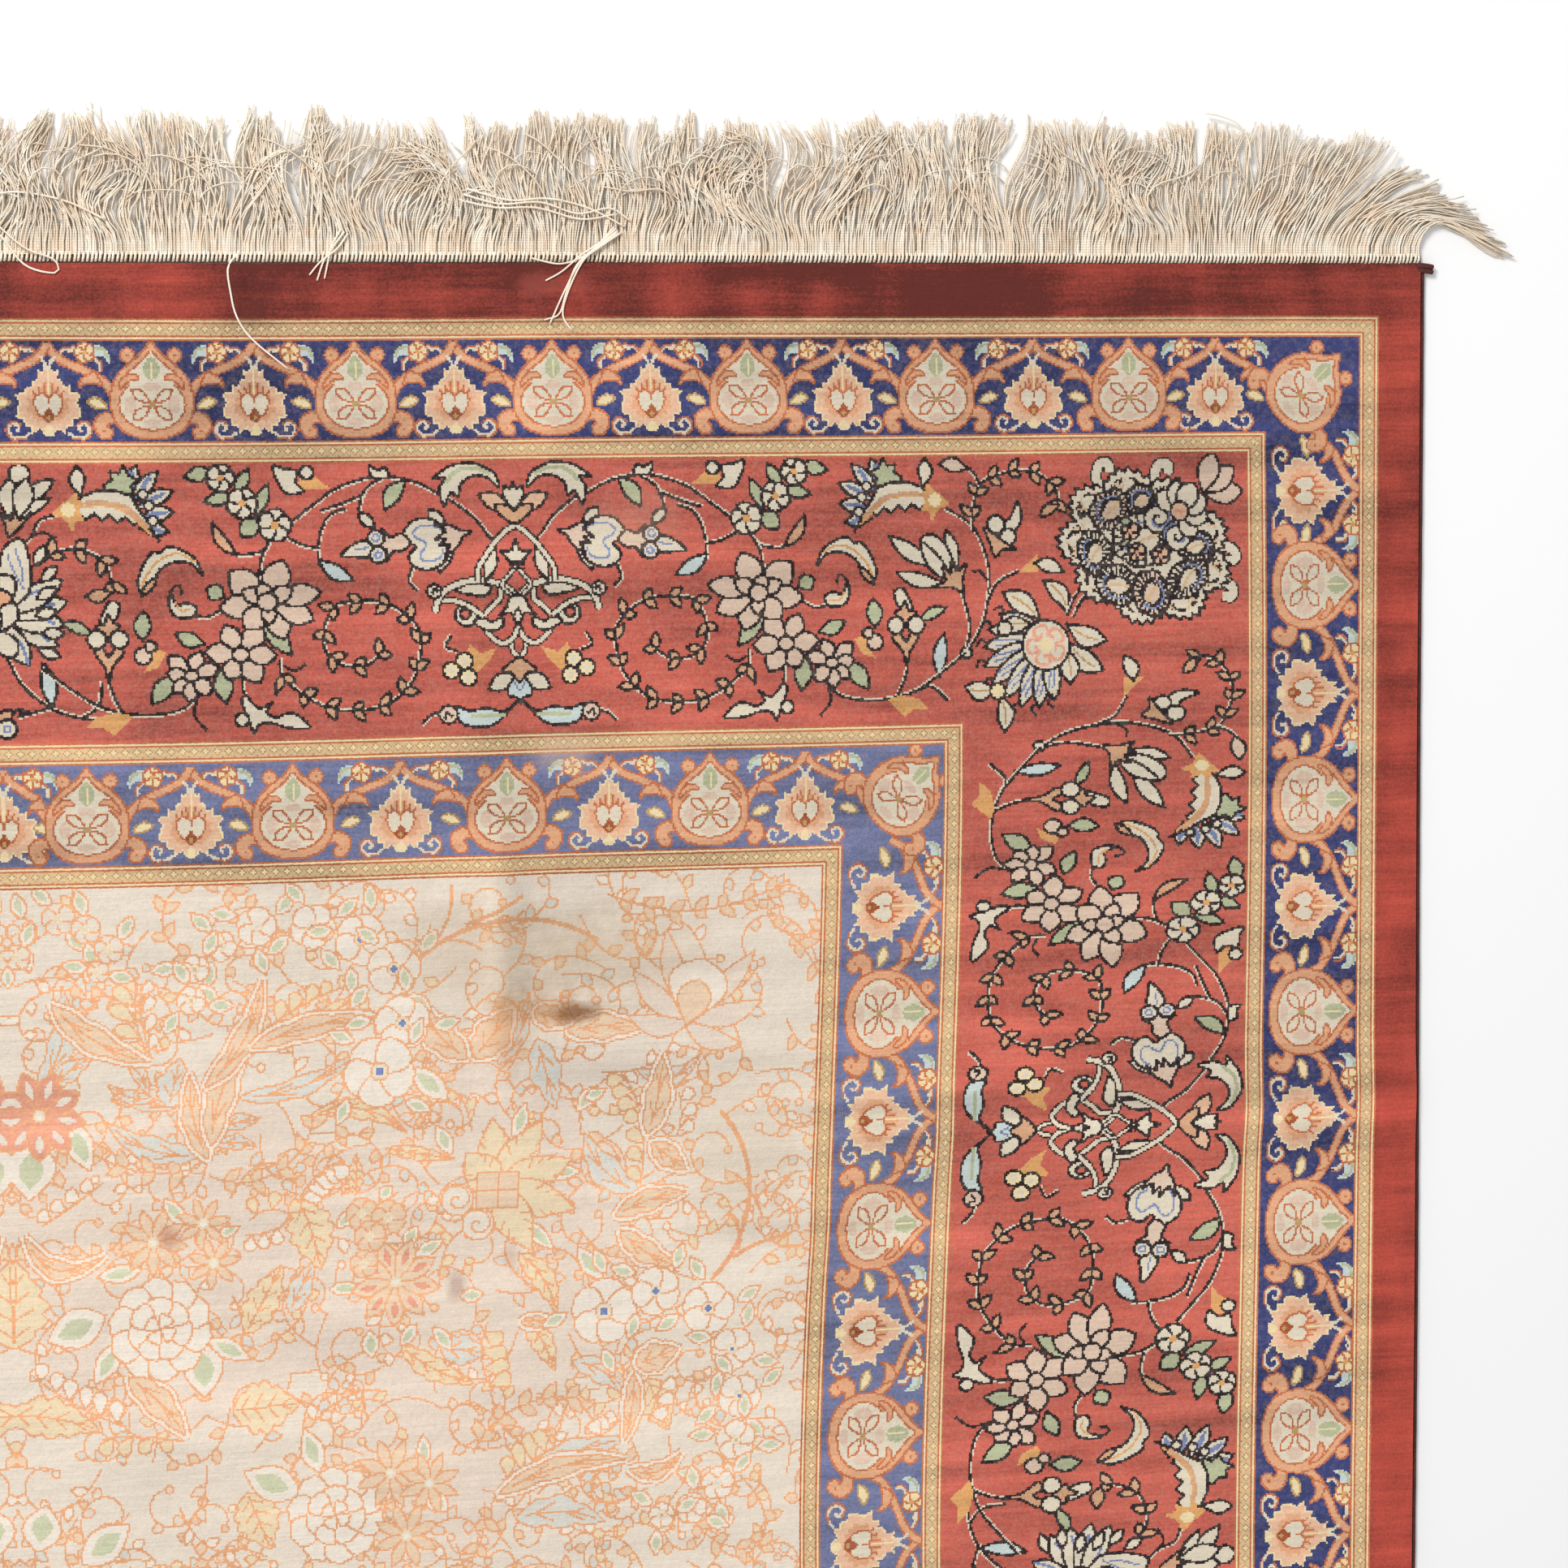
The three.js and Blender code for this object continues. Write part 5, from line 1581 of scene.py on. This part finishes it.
# ---------------------------------------------------------------------------
# The cloth under the pile, the selvedges and the fringes
# ---------------------------------------------------------------------------
def foundation(material):
    """The woven sheet that carries the knots, a closed thin slab."""
    columns, rows = FOUNDATION_POINTS
    u, v = np.meshgrid(np.linspace(-1, 1, columns) * (HALF_WIDTH - FOUNDATION_INSET),
                       np.linspace(-1, 1, rows) * (HALF_LENGTH - FOUNDATION_INSET))
    x, y = cloth_place(u, v)
    ripple = ripple_height(x, y)
    points = np.stack([x, y, ripple], -1).reshape(-1, 3)
    above = points + (0, 0, FOUNDATION_THICKNESS)
    count = len(points)
    top = grid_faces(rows, columns)
    faces = top.tolist() + (top[:, ::-1] + count).tolist()
    index = np.arange(count).reshape(rows, columns)
    rim = np.concatenate([index[0, :-1], index[:-1, -1], index[-1, :0:-1], index[:0:-1, 0]])
    ahead = np.roll(rim, -1)
    faces += np.stack([rim + count, ahead + count, ahead, rim], -1).tolist()
    return new_object("foundation", np.vstack([above, points]) * MM, faces, material)


def tubes(name, paths, radius, sides, material, taper=1.0):
    """One mesh of many threads. paths is (threads, points, 3); radius may differ between threads."""
    threads, steps, _ = paths.shape
    ahead = np.gradient(paths, axis=1)
    ahead /= np.maximum(np.linalg.norm(ahead, axis=2, keepdims=True), 1e-9)
    across = np.cross(ahead, (0.0, 0.0, 1.0))
    across /= np.maximum(np.linalg.norm(across, axis=2, keepdims=True), 1e-9)
    over = np.cross(across, ahead)
    angle = np.arange(sides) / sides * TAU + math.pi / 2
    share = np.linspace(1, taper, steps)[None, :, None, None]
    size = np.broadcast_to(np.asarray(radius, float), (threads,))[:, None, None, None] * share
    cosine, sine = (wave(angle)[None, None, :, None] for wave in (np.cos, np.sin))
    ring = across[:, :, None] * cosine + over[:, :, None] * sine
    points = (paths[:, :, None] + size * ring).reshape(-1, 3)
    index = np.arange(threads * steps * sides).reshape(threads, steps, sides)
    next_side = np.roll(index, -1, axis=2)
    quads = np.stack([index[:, :-1], next_side[:, :-1], next_side[:, 1:], index[:, 1:]], -1).reshape(-1, 4)
    caps = [index[:, -1]] + ([index[:, 0, ::-1]] if sides > 3 else [])
    piece = new_object(name, points * MM, quads.tolist() + np.concatenate(caps).tolist(), material)
    stretches = np.linalg.norm(np.diff(paths, axis=1), axis=2)
    far = np.concatenate([np.zeros((threads, 1)), np.cumsum(stretches, 1)], 1)
    turn = np.arange(sides + 1) / sides
    layer = piece.data.uv_layers.new(name="thread")
    side_u = np.stack([turn[:-1], turn[1:], turn[1:], turn[:-1]], -1)
    along = np.stack([far[:, :-1], far[:, :-1], far[:, 1:], far[:, 1:]], -1)
    shape = (threads, steps - 1, sides, 4)
    uv = np.stack([np.broadcast_to(part, shape) for part in (side_u[None, None], along[:, :, None])], -1)
    ends = np.zeros((sum(cap.size for cap in caps), 2))
    layer.data.foreach_set("uv", np.concatenate([uv.reshape(-1, 2), ends]).astype(np.float32).ravel())
    piece.data.polygons.foreach_set("use_smooth", np.ones(len(piece.data.polygons), bool))
    return piece


def selvedge(side, material):
    """The overcast cord along a long side."""
    v = np.linspace(-HALF_LENGTH, HALF_LENGTH, SELVEDGE_POINTS)
    x, y = cloth_place(np.full(SELVEDGE_POINTS, side * float(HALF_WIDTH)), v)
    radius = SELVEDGE_DIAMETER / 2
    x = x + side * (FIT_GAP + radius)
    path = np.stack([x, y, np.full(SELVEDGE_POINTS, radius) + 0.13 + 0.12 * np.sin(v / 5.3)], -1)[None]
    name = "selvedge_" + ("right" if side > 0 else "left") + "_cord"
    return tubes(name, path, radius, SELVEDGE_SIDES, material)


def strand_paths(count, seed):
    """Middle lines of the strands at the head end, in millimetres."""
    rng = np.random.default_rng(seed)
    reach = HALF_WIDTH - 4
    root = ((np.arange(count) + rng.uniform(0, 1, count)) / count * 2 - 1) * reach
    # The strands hang together in locks. What is picked goes for a whole lock, the rest for each strand.
    edges = np.cumsum(rng.uniform(*LOCK_WIDTH, 400)) - reach
    lock = np.searchsorted(edges, root)
    locks = len(edges) + 1
    centre = np.concatenate([[-reach], (edges[:-1] + edges[1:]) / 2, [reach, reach]])[:locks + 1]

    def pick(low, high):
        return rng.uniform(low, high, locks)[lock][:, None]

    def each(low, high):
        return rng.uniform(low, high, count)[:, None]

    to_corner = np.maximum(0, 1 - (HALF_WIDTH - np.abs(root)) / FAN_REACH)
    lean = (np.sign(root) * FAN_ANGLE * to_corner**1.1)[:, None]
    loose = (1 - to_corner)[:, None]
    length = STRAND_LENGTH + pick(-1, 1) * STRAND_LENGTH_SPREAD + each(-4, 3)
    length = length * (1 - FAN_SHORTENING * to_corner[:, None])
    s = np.linspace(0, 1, FRINGE_STEPS + 1)[None, :]
    grown = np.minimum(1, 5 * s)
    heading = lean * np.minimum(1, 2.6 * s)
    calm = 0.35 + 0.65 * loose
    # Waves that run through the whole fringe, then a lock's own, then a strand's own
    flow = 0.3 + 0.22 * np.sin(root / 31 + 0.7) + 0.16 * np.sin(root / 11.3 + 2.1)
    wave = np.sin(TAU * (1.1 + 0.3 * np.sin(root / 47))[:, None] * s + (root / 19)[:, None])
    heading = heading + flow[:, None] * grown * wave * calm
    wave = np.sin(TAU * pick(0.6, 1.5) * s + pick(0, TAU))
    heading = heading + pick(0.03, 0.26) * grown * wave * calm
    heading = heading + pick(-0.07, 0.07) * s * loose
    wave = np.sin(TAU * each(0.6, 1.7) * s + each(0, TAU))
    heading = heading + each(0.04, 0.36) * grown * wave * calm
    heading = heading + pick(0.0, 0.22) * 2 * s * (centre[lock] - root)[:, None] / length
    # Some locks are swept aside and some strands curl over
    tangled = np.abs(root) < TANGLED_REACH
    swept = (rng.random(locks)[lock] < np.where(tangled, *SWEPT_SHARE))[:, None] * loose
    heading = heading + swept * pick(-1.7, 1.7) * np.maximum(0, s - 0.15)
    curled = (rng.random(count) < np.where(tangled, *CURLED_SHARE))[:, None] * loose
    heading = heading + curled * each(-3.4, 3.4) * np.maximum(0, s - 0.35) / 0.65
    step = length / FRINGE_STEPS
    run_x = np.cumsum(np.sin(heading) * step, 1) - np.sin(heading) * step
    run_y = np.cumsum(np.cos(heading) * step, 1) - np.cos(heading) * step
    layer = each(0, 1)
    rise = np.minimum(1, 2.5 * s)
    z = 0.8 + 2.4 * layer * (1 - rise) + rise * (0.2 + FRINGE_HEIGHT * layer * (1 - 0.35 * s))
    z = z + (curled + swept) * 2.2 * np.minimum(1, 2 * s)
    z = z + 0.5 * rise * np.sin(TAU * each(0.6, 1.8) * s + each(0, TAU)) * layer
    wall = HALF_LENGTH + FIT_GAP + STRIP_DEPTH - 1.0
    y = wall + run_y + np.zeros_like(z)
    return np.stack([root[:, None] + run_x, np.maximum(y, wall), np.maximum(z, 0.7)], -1)


def end_name(head):
    return "head" if head else "foot"


def end_for_end(points, head):
    """The foot's fringe is the head's, turned half round."""
    return points if head else points * (-1, -1, 1)


def fringe(head, material):
    name = "fringe_" + end_name(head)
    paths = end_for_end(strand_paths(STRANDS_PER_END, 11 if head else 12), head)
    rng = np.random.default_rng(21 if head else 22)
    radius = rng.uniform(*STRAND_RADIUS, len(paths))
    groups = zip(np.array_split(paths, FRINGE_PIECES), np.array_split(radius, FRINGE_PIECES))
    return [tubes(f"{name}_strands_{k + 1}", some, sizes, 3, material, 0.7)
            for k, (some, sizes) in enumerate(groups)]


# Loose silk threads that lie over the head end: the height of the start, then the route in knots
LOOSE_THREADS = (
    (6, ((-4, 1300), (6, 1293), (18, 1278), (34, 1274), (33, 1281), (18, 1287), (4, 1299))),
    (6, ((60, 1302), (38, 1312), (10, 1316), (-12, 1308))),
    (2.4, ((130, 1285), (124, 1277), (125, 1264), (128, 1251), (136, 1239), (155, 1223))),
    (5, ((186, 1296), (180, 1288), (175, 1281), (171, 1270))),
    (5, ((184, 1297), (179, 1288), (177, 1280), (175, 1271))),
    (5, ((188, 1295), (182, 1287), (173, 1280), (167, 1273))),
    (6, ((334, 1297), (324, 1289), (315, 1283), (302, 1279), (287, 1282))),
    (6, ((333, 1298), (325, 1291), (314, 1284), (303, 1275), (294, 1270))),
    (6, ((334, 1296), (322, 1287), (313, 1280), (304, 1264), (296, 1247))),
    (6, ((336, 1296), (324, 1288), (315, 1281), (307, 1266), (303, 1252), (308, 1243))),
    (6, ((332, 1299), (323, 1289), (311, 1278), (305, 1263), (301, 1252), (293, 1249))),
    (5, ((694, 1338), (693, 1348), (687, 1357), (678, 1361), (668, 1363))),
    (5, ((600, 1340), (603, 1350), (605, 1357), (608, 1364))),
    (6, ((250, 1316), (270, 1311), (292, 1312), (312, 1306), (330, 1309), (341, 1302))),
    (6, ((248, 1313), (268, 1309), (290, 1309), (314, 1303), (334, 1306))),
    (6, ((252, 1319), (275, 1313), (296, 1314), (318, 1309), (338, 1299))),
)
THREAD_STEPS = 28


def loose_threads(material):
    """Threads that came out of the fringe. They lie on the strands, then on the pile."""
    paths = []
    for height, route in LOOSE_THREADS:
        way = curve(route)
        far = distances(way)
        s = np.linspace(0, 1, THREAD_STEPS)
        x, y = (np.interp(s * far[-1], far, way[:, axis]) for axis in (0, 1))
        top = np.where(y < HALF_LENGTH, CLOTH_THICKNESS + 0.7 + ripple_height(x, y), height)
        soft = np.convolve(np.pad(top, 2, "edge"), np.ones(5) / 5, "valid")
        paths.append(np.column_stack([x, y, soft]))
    return tubes("fringe_head_loose_threads", np.array(paths), 0.62, 6, material, 0.8)


def selvedge_tail(material):
    """The frayed end of the right cord, at the rug's corner."""
    s = np.linspace(0, 1, 7)[None, :]
    start = np.array((-1.1, 1.1))[:, None]
    x = HALF_WIDTH - 6 + 9.5 * s + 0 * start
    y = HALF_LENGTH - 2.5 + start + 0.3 * start * s - s**2
    z = 3.2 + 0.3 * start + 0.8 * np.sin(math.pi * s)
    return tubes("selvedge_right_tail", np.stack([x, y, z], -1), 1.7, 8, material, 0.85)


def fringe_teeth(head, material):
    """The row of small stitches between the pile and the strands."""
    count = int(2 * (HALF_WIDTH - SELVEDGE_DIAMETER) / TOOTH_PITCH)
    x = (np.arange(count) + 0.5) * TOOTH_PITCH - count * TOOTH_PITCH / 2
    wobble = np.random.default_rng(31).uniform(-0.25, 0.25, (3, count))
    s = np.linspace(0, 1, 6)[None, :]
    y = HALF_LENGTH + FIT_GAP - 0.6 + (STRIP_DEPTH + 1.6) * s + wobble[0][:, None]
    z = 0.9 + (2.4 + wobble[1][:, None]) * np.sin(math.pi * (0.12 + 0.76 * s))
    paths = np.stack([x[:, None] + wobble[2][:, None] + 0.9 * (s - 0.5), y, z + 0 * y], -1)
    return tubes("teeth_" + end_name(head), end_for_end(paths, head), TOOTH_RADIUS, 5, material)


def fringe_strip(head, material):
    """The dark flat-woven strip that the stitches cross."""
    low, high = HALF_LENGTH + 0.05, HALF_LENGTH + FIT_GAP + STRIP_DEPTH
    x = np.linspace(-1, 1, 81) * (HALF_WIDTH - SELVEDGE_DIAMETER)
    section = ((low, 0), (high, 0), (high, STRIP_THICKNESS), (low, STRIP_THICKNESS))
    points = np.array([[(at, y, z) for y, z in section] for at in x])
    index = np.arange(points.shape[0] * 4).reshape(-1, 4)
    around = np.roll(index, -1, axis=1)
    quads = np.stack([index[:-1], index[1:], around[1:], around[:-1]], -1).reshape(-1, 4).tolist()
    quads += [index[0].tolist(), index[-1, ::-1].tolist()]
    name = "strip_" + end_name(head)
    return new_object(name, end_for_end(points.reshape(-1, 3), head) * MM, quads, material)


def silk_material(name, light, dark, roughness):
    """Threads of plies twisted together: UV x runs round the thread and y along it in millimetres."""
    nodes = Nodes(name)
    where = nodes.add("ShaderNodeTexCoord").outputs["Object"]
    parts = nodes.add("ShaderNodeSeparateXYZ")
    nodes.put(parts.inputs[0], nodes.add("ShaderNodeUVMap", uv_map="thread").outputs["UV"])
    lay = nodes.math("MULTIPLY", parts.outputs[1], TURNS_PER_MM)
    turn = nodes.math("MULTIPLY_ADD", parts.outputs[0], float(PLIES), lay)
    twist = nodes.math("SINE", nodes.math("MULTIPLY", turn, TAU))
    # Painted shade: the thread is a little darker in the grooves between its plies and lighter on their
    # crests
    tone = nodes.math("ADD", nodes.noise(where, PATCH_SCALE, 3, 0.6), nodes.math("MULTIPLY", twist, 0.06))
    fine = nodes.spread(nodes.noise(where, 7 * PATCH_SCALE, 2, 0.5), 0.3, 0.7, -0.1, 0.1)
    tone = nodes.math("ADD", tone, fine)
    colour = nodes.ramp(tone, ((0.3, linear(dark)), (0.66, linear(light))))
    nodes.put(nodes.shader.inputs["Base Color"], colour)
    nodes.shader.inputs["Roughness"].default_value = roughness
    nodes.put(nodes.shader.inputs["Normal"], nodes.bump(twist, 0.0001, 0.6))
    return nodes.material


# ---------------------------------------------------------------------------
# Camera, light and floor
# ---------------------------------------------------------------------------
PHOTO_PIXELS = 1932
FOCAL_PIXELS = 5000
SENSOR = 36.0
CAMERA_PLACE = (-0.0597, 1.1968, 2.1869)
CAMERA_TURN = (-0.0891, -0.2189, -0.0070)
FLOOR_REACH = 30
FLOOR_WHITE = 0.98
KEY_SIZE = 1.3
KEY_POWER = 120
KEY_PLACE = (-1.6, 3.2, 2.9)
KEY_AIM = (0.4, 0.9, 0)
SKY_STRENGTH = 0.57


def make_stage():
    camera = bpy.data.cameras.new("camera")
    camera.sensor_width = SENSOR
    camera.lens = FOCAL_PIXELS / PHOTO_PIXELS * SENSOR
    camera_object = bpy.data.objects.new("camera", camera)
    camera_object.location = CAMERA_PLACE
    camera_object.rotation_euler = CAMERA_TURN
    bpy.context.scene.collection.objects.link(camera_object)
    bpy.context.scene.camera = camera_object
    corners = [(x * FLOOR_REACH, y * FLOOR_REACH, 0) for x, y in ((-1, -1), (1, -1), (1, 1), (-1, 1))]
    floor = new_object("floor", corners, [(0, 1, 2, 3)], None)
    nodes = Nodes("floor_white")
    nodes.shader.inputs["Base Color"].default_value = (FLOOR_WHITE, FLOOR_WHITE, FLOOR_WHITE, 1)
    nodes.shader.inputs["Roughness"].default_value = 0.9
    floor.data.materials.append(nodes.material)
    key = bpy.data.lights.new("key", "AREA")
    key.shape = "DISK"
    key.size = KEY_SIZE
    key.energy = KEY_POWER
    key_object = bpy.data.objects.new("key", key)
    key_object.location = KEY_PLACE
    aim = Vector(KEY_AIM) - key_object.location
    key_object.rotation_euler = aim.to_track_quat("-Z", "Y").to_euler()
    bpy.context.scene.collection.objects.link(key_object)
    world = bpy.data.worlds.new("studio")
    bpy.context.scene.world = world
    world.use_nodes = True
    world.node_tree.nodes["Background"].inputs["Color"].default_value = (1, 1, 1, 1)
    world.node_tree.nodes["Background"].inputs["Strength"].default_value = SKY_STRENGTH
    bpy.context.scene.view_settings.view_transform = "Standard"


# ---------------------------------------------------------------------------
# The rug
# ---------------------------------------------------------------------------
make_stage()
chart = draw_chart()
pile = make_pile(chart_numbers(chart))
silk = silk_material("silk_fringe", *FRINGE_SILK, 0.45)
strip_silk = silk_material("silk_strip", *STRIP_SILK, 0.8)
overcast = silk_material("overcast_wool", *OVERCAST_WOOL, 0.8)
woven = silk_material("woven_back", *WOVEN_BACK, 0.85)

base = foundation(woven)
selvedges = [selvedge(side, overcast) for side in (1, -1)]
tail = selvedge_tail(overcast)
ends = []
for head in (True, False):
    pieces = fringe(head, silk) + [fringe_teeth(head, silk), fringe_strip(head, strip_silk)]
    if head:
        pieces.append(loose_threads(silk))
    for piece in pieces:
        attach(piece, "root")
        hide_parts("fringe_head" if head else "fringe_foot")
    ends += pieces
for piece, node in zip(selvedges + [tail], ("selvedge_right", "selvedge_left", "selvedge_right")):
    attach(piece, "root")
    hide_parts(node)
for piece in pile + [base]:
    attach(piece, "root")
    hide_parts("knotted_cloth")
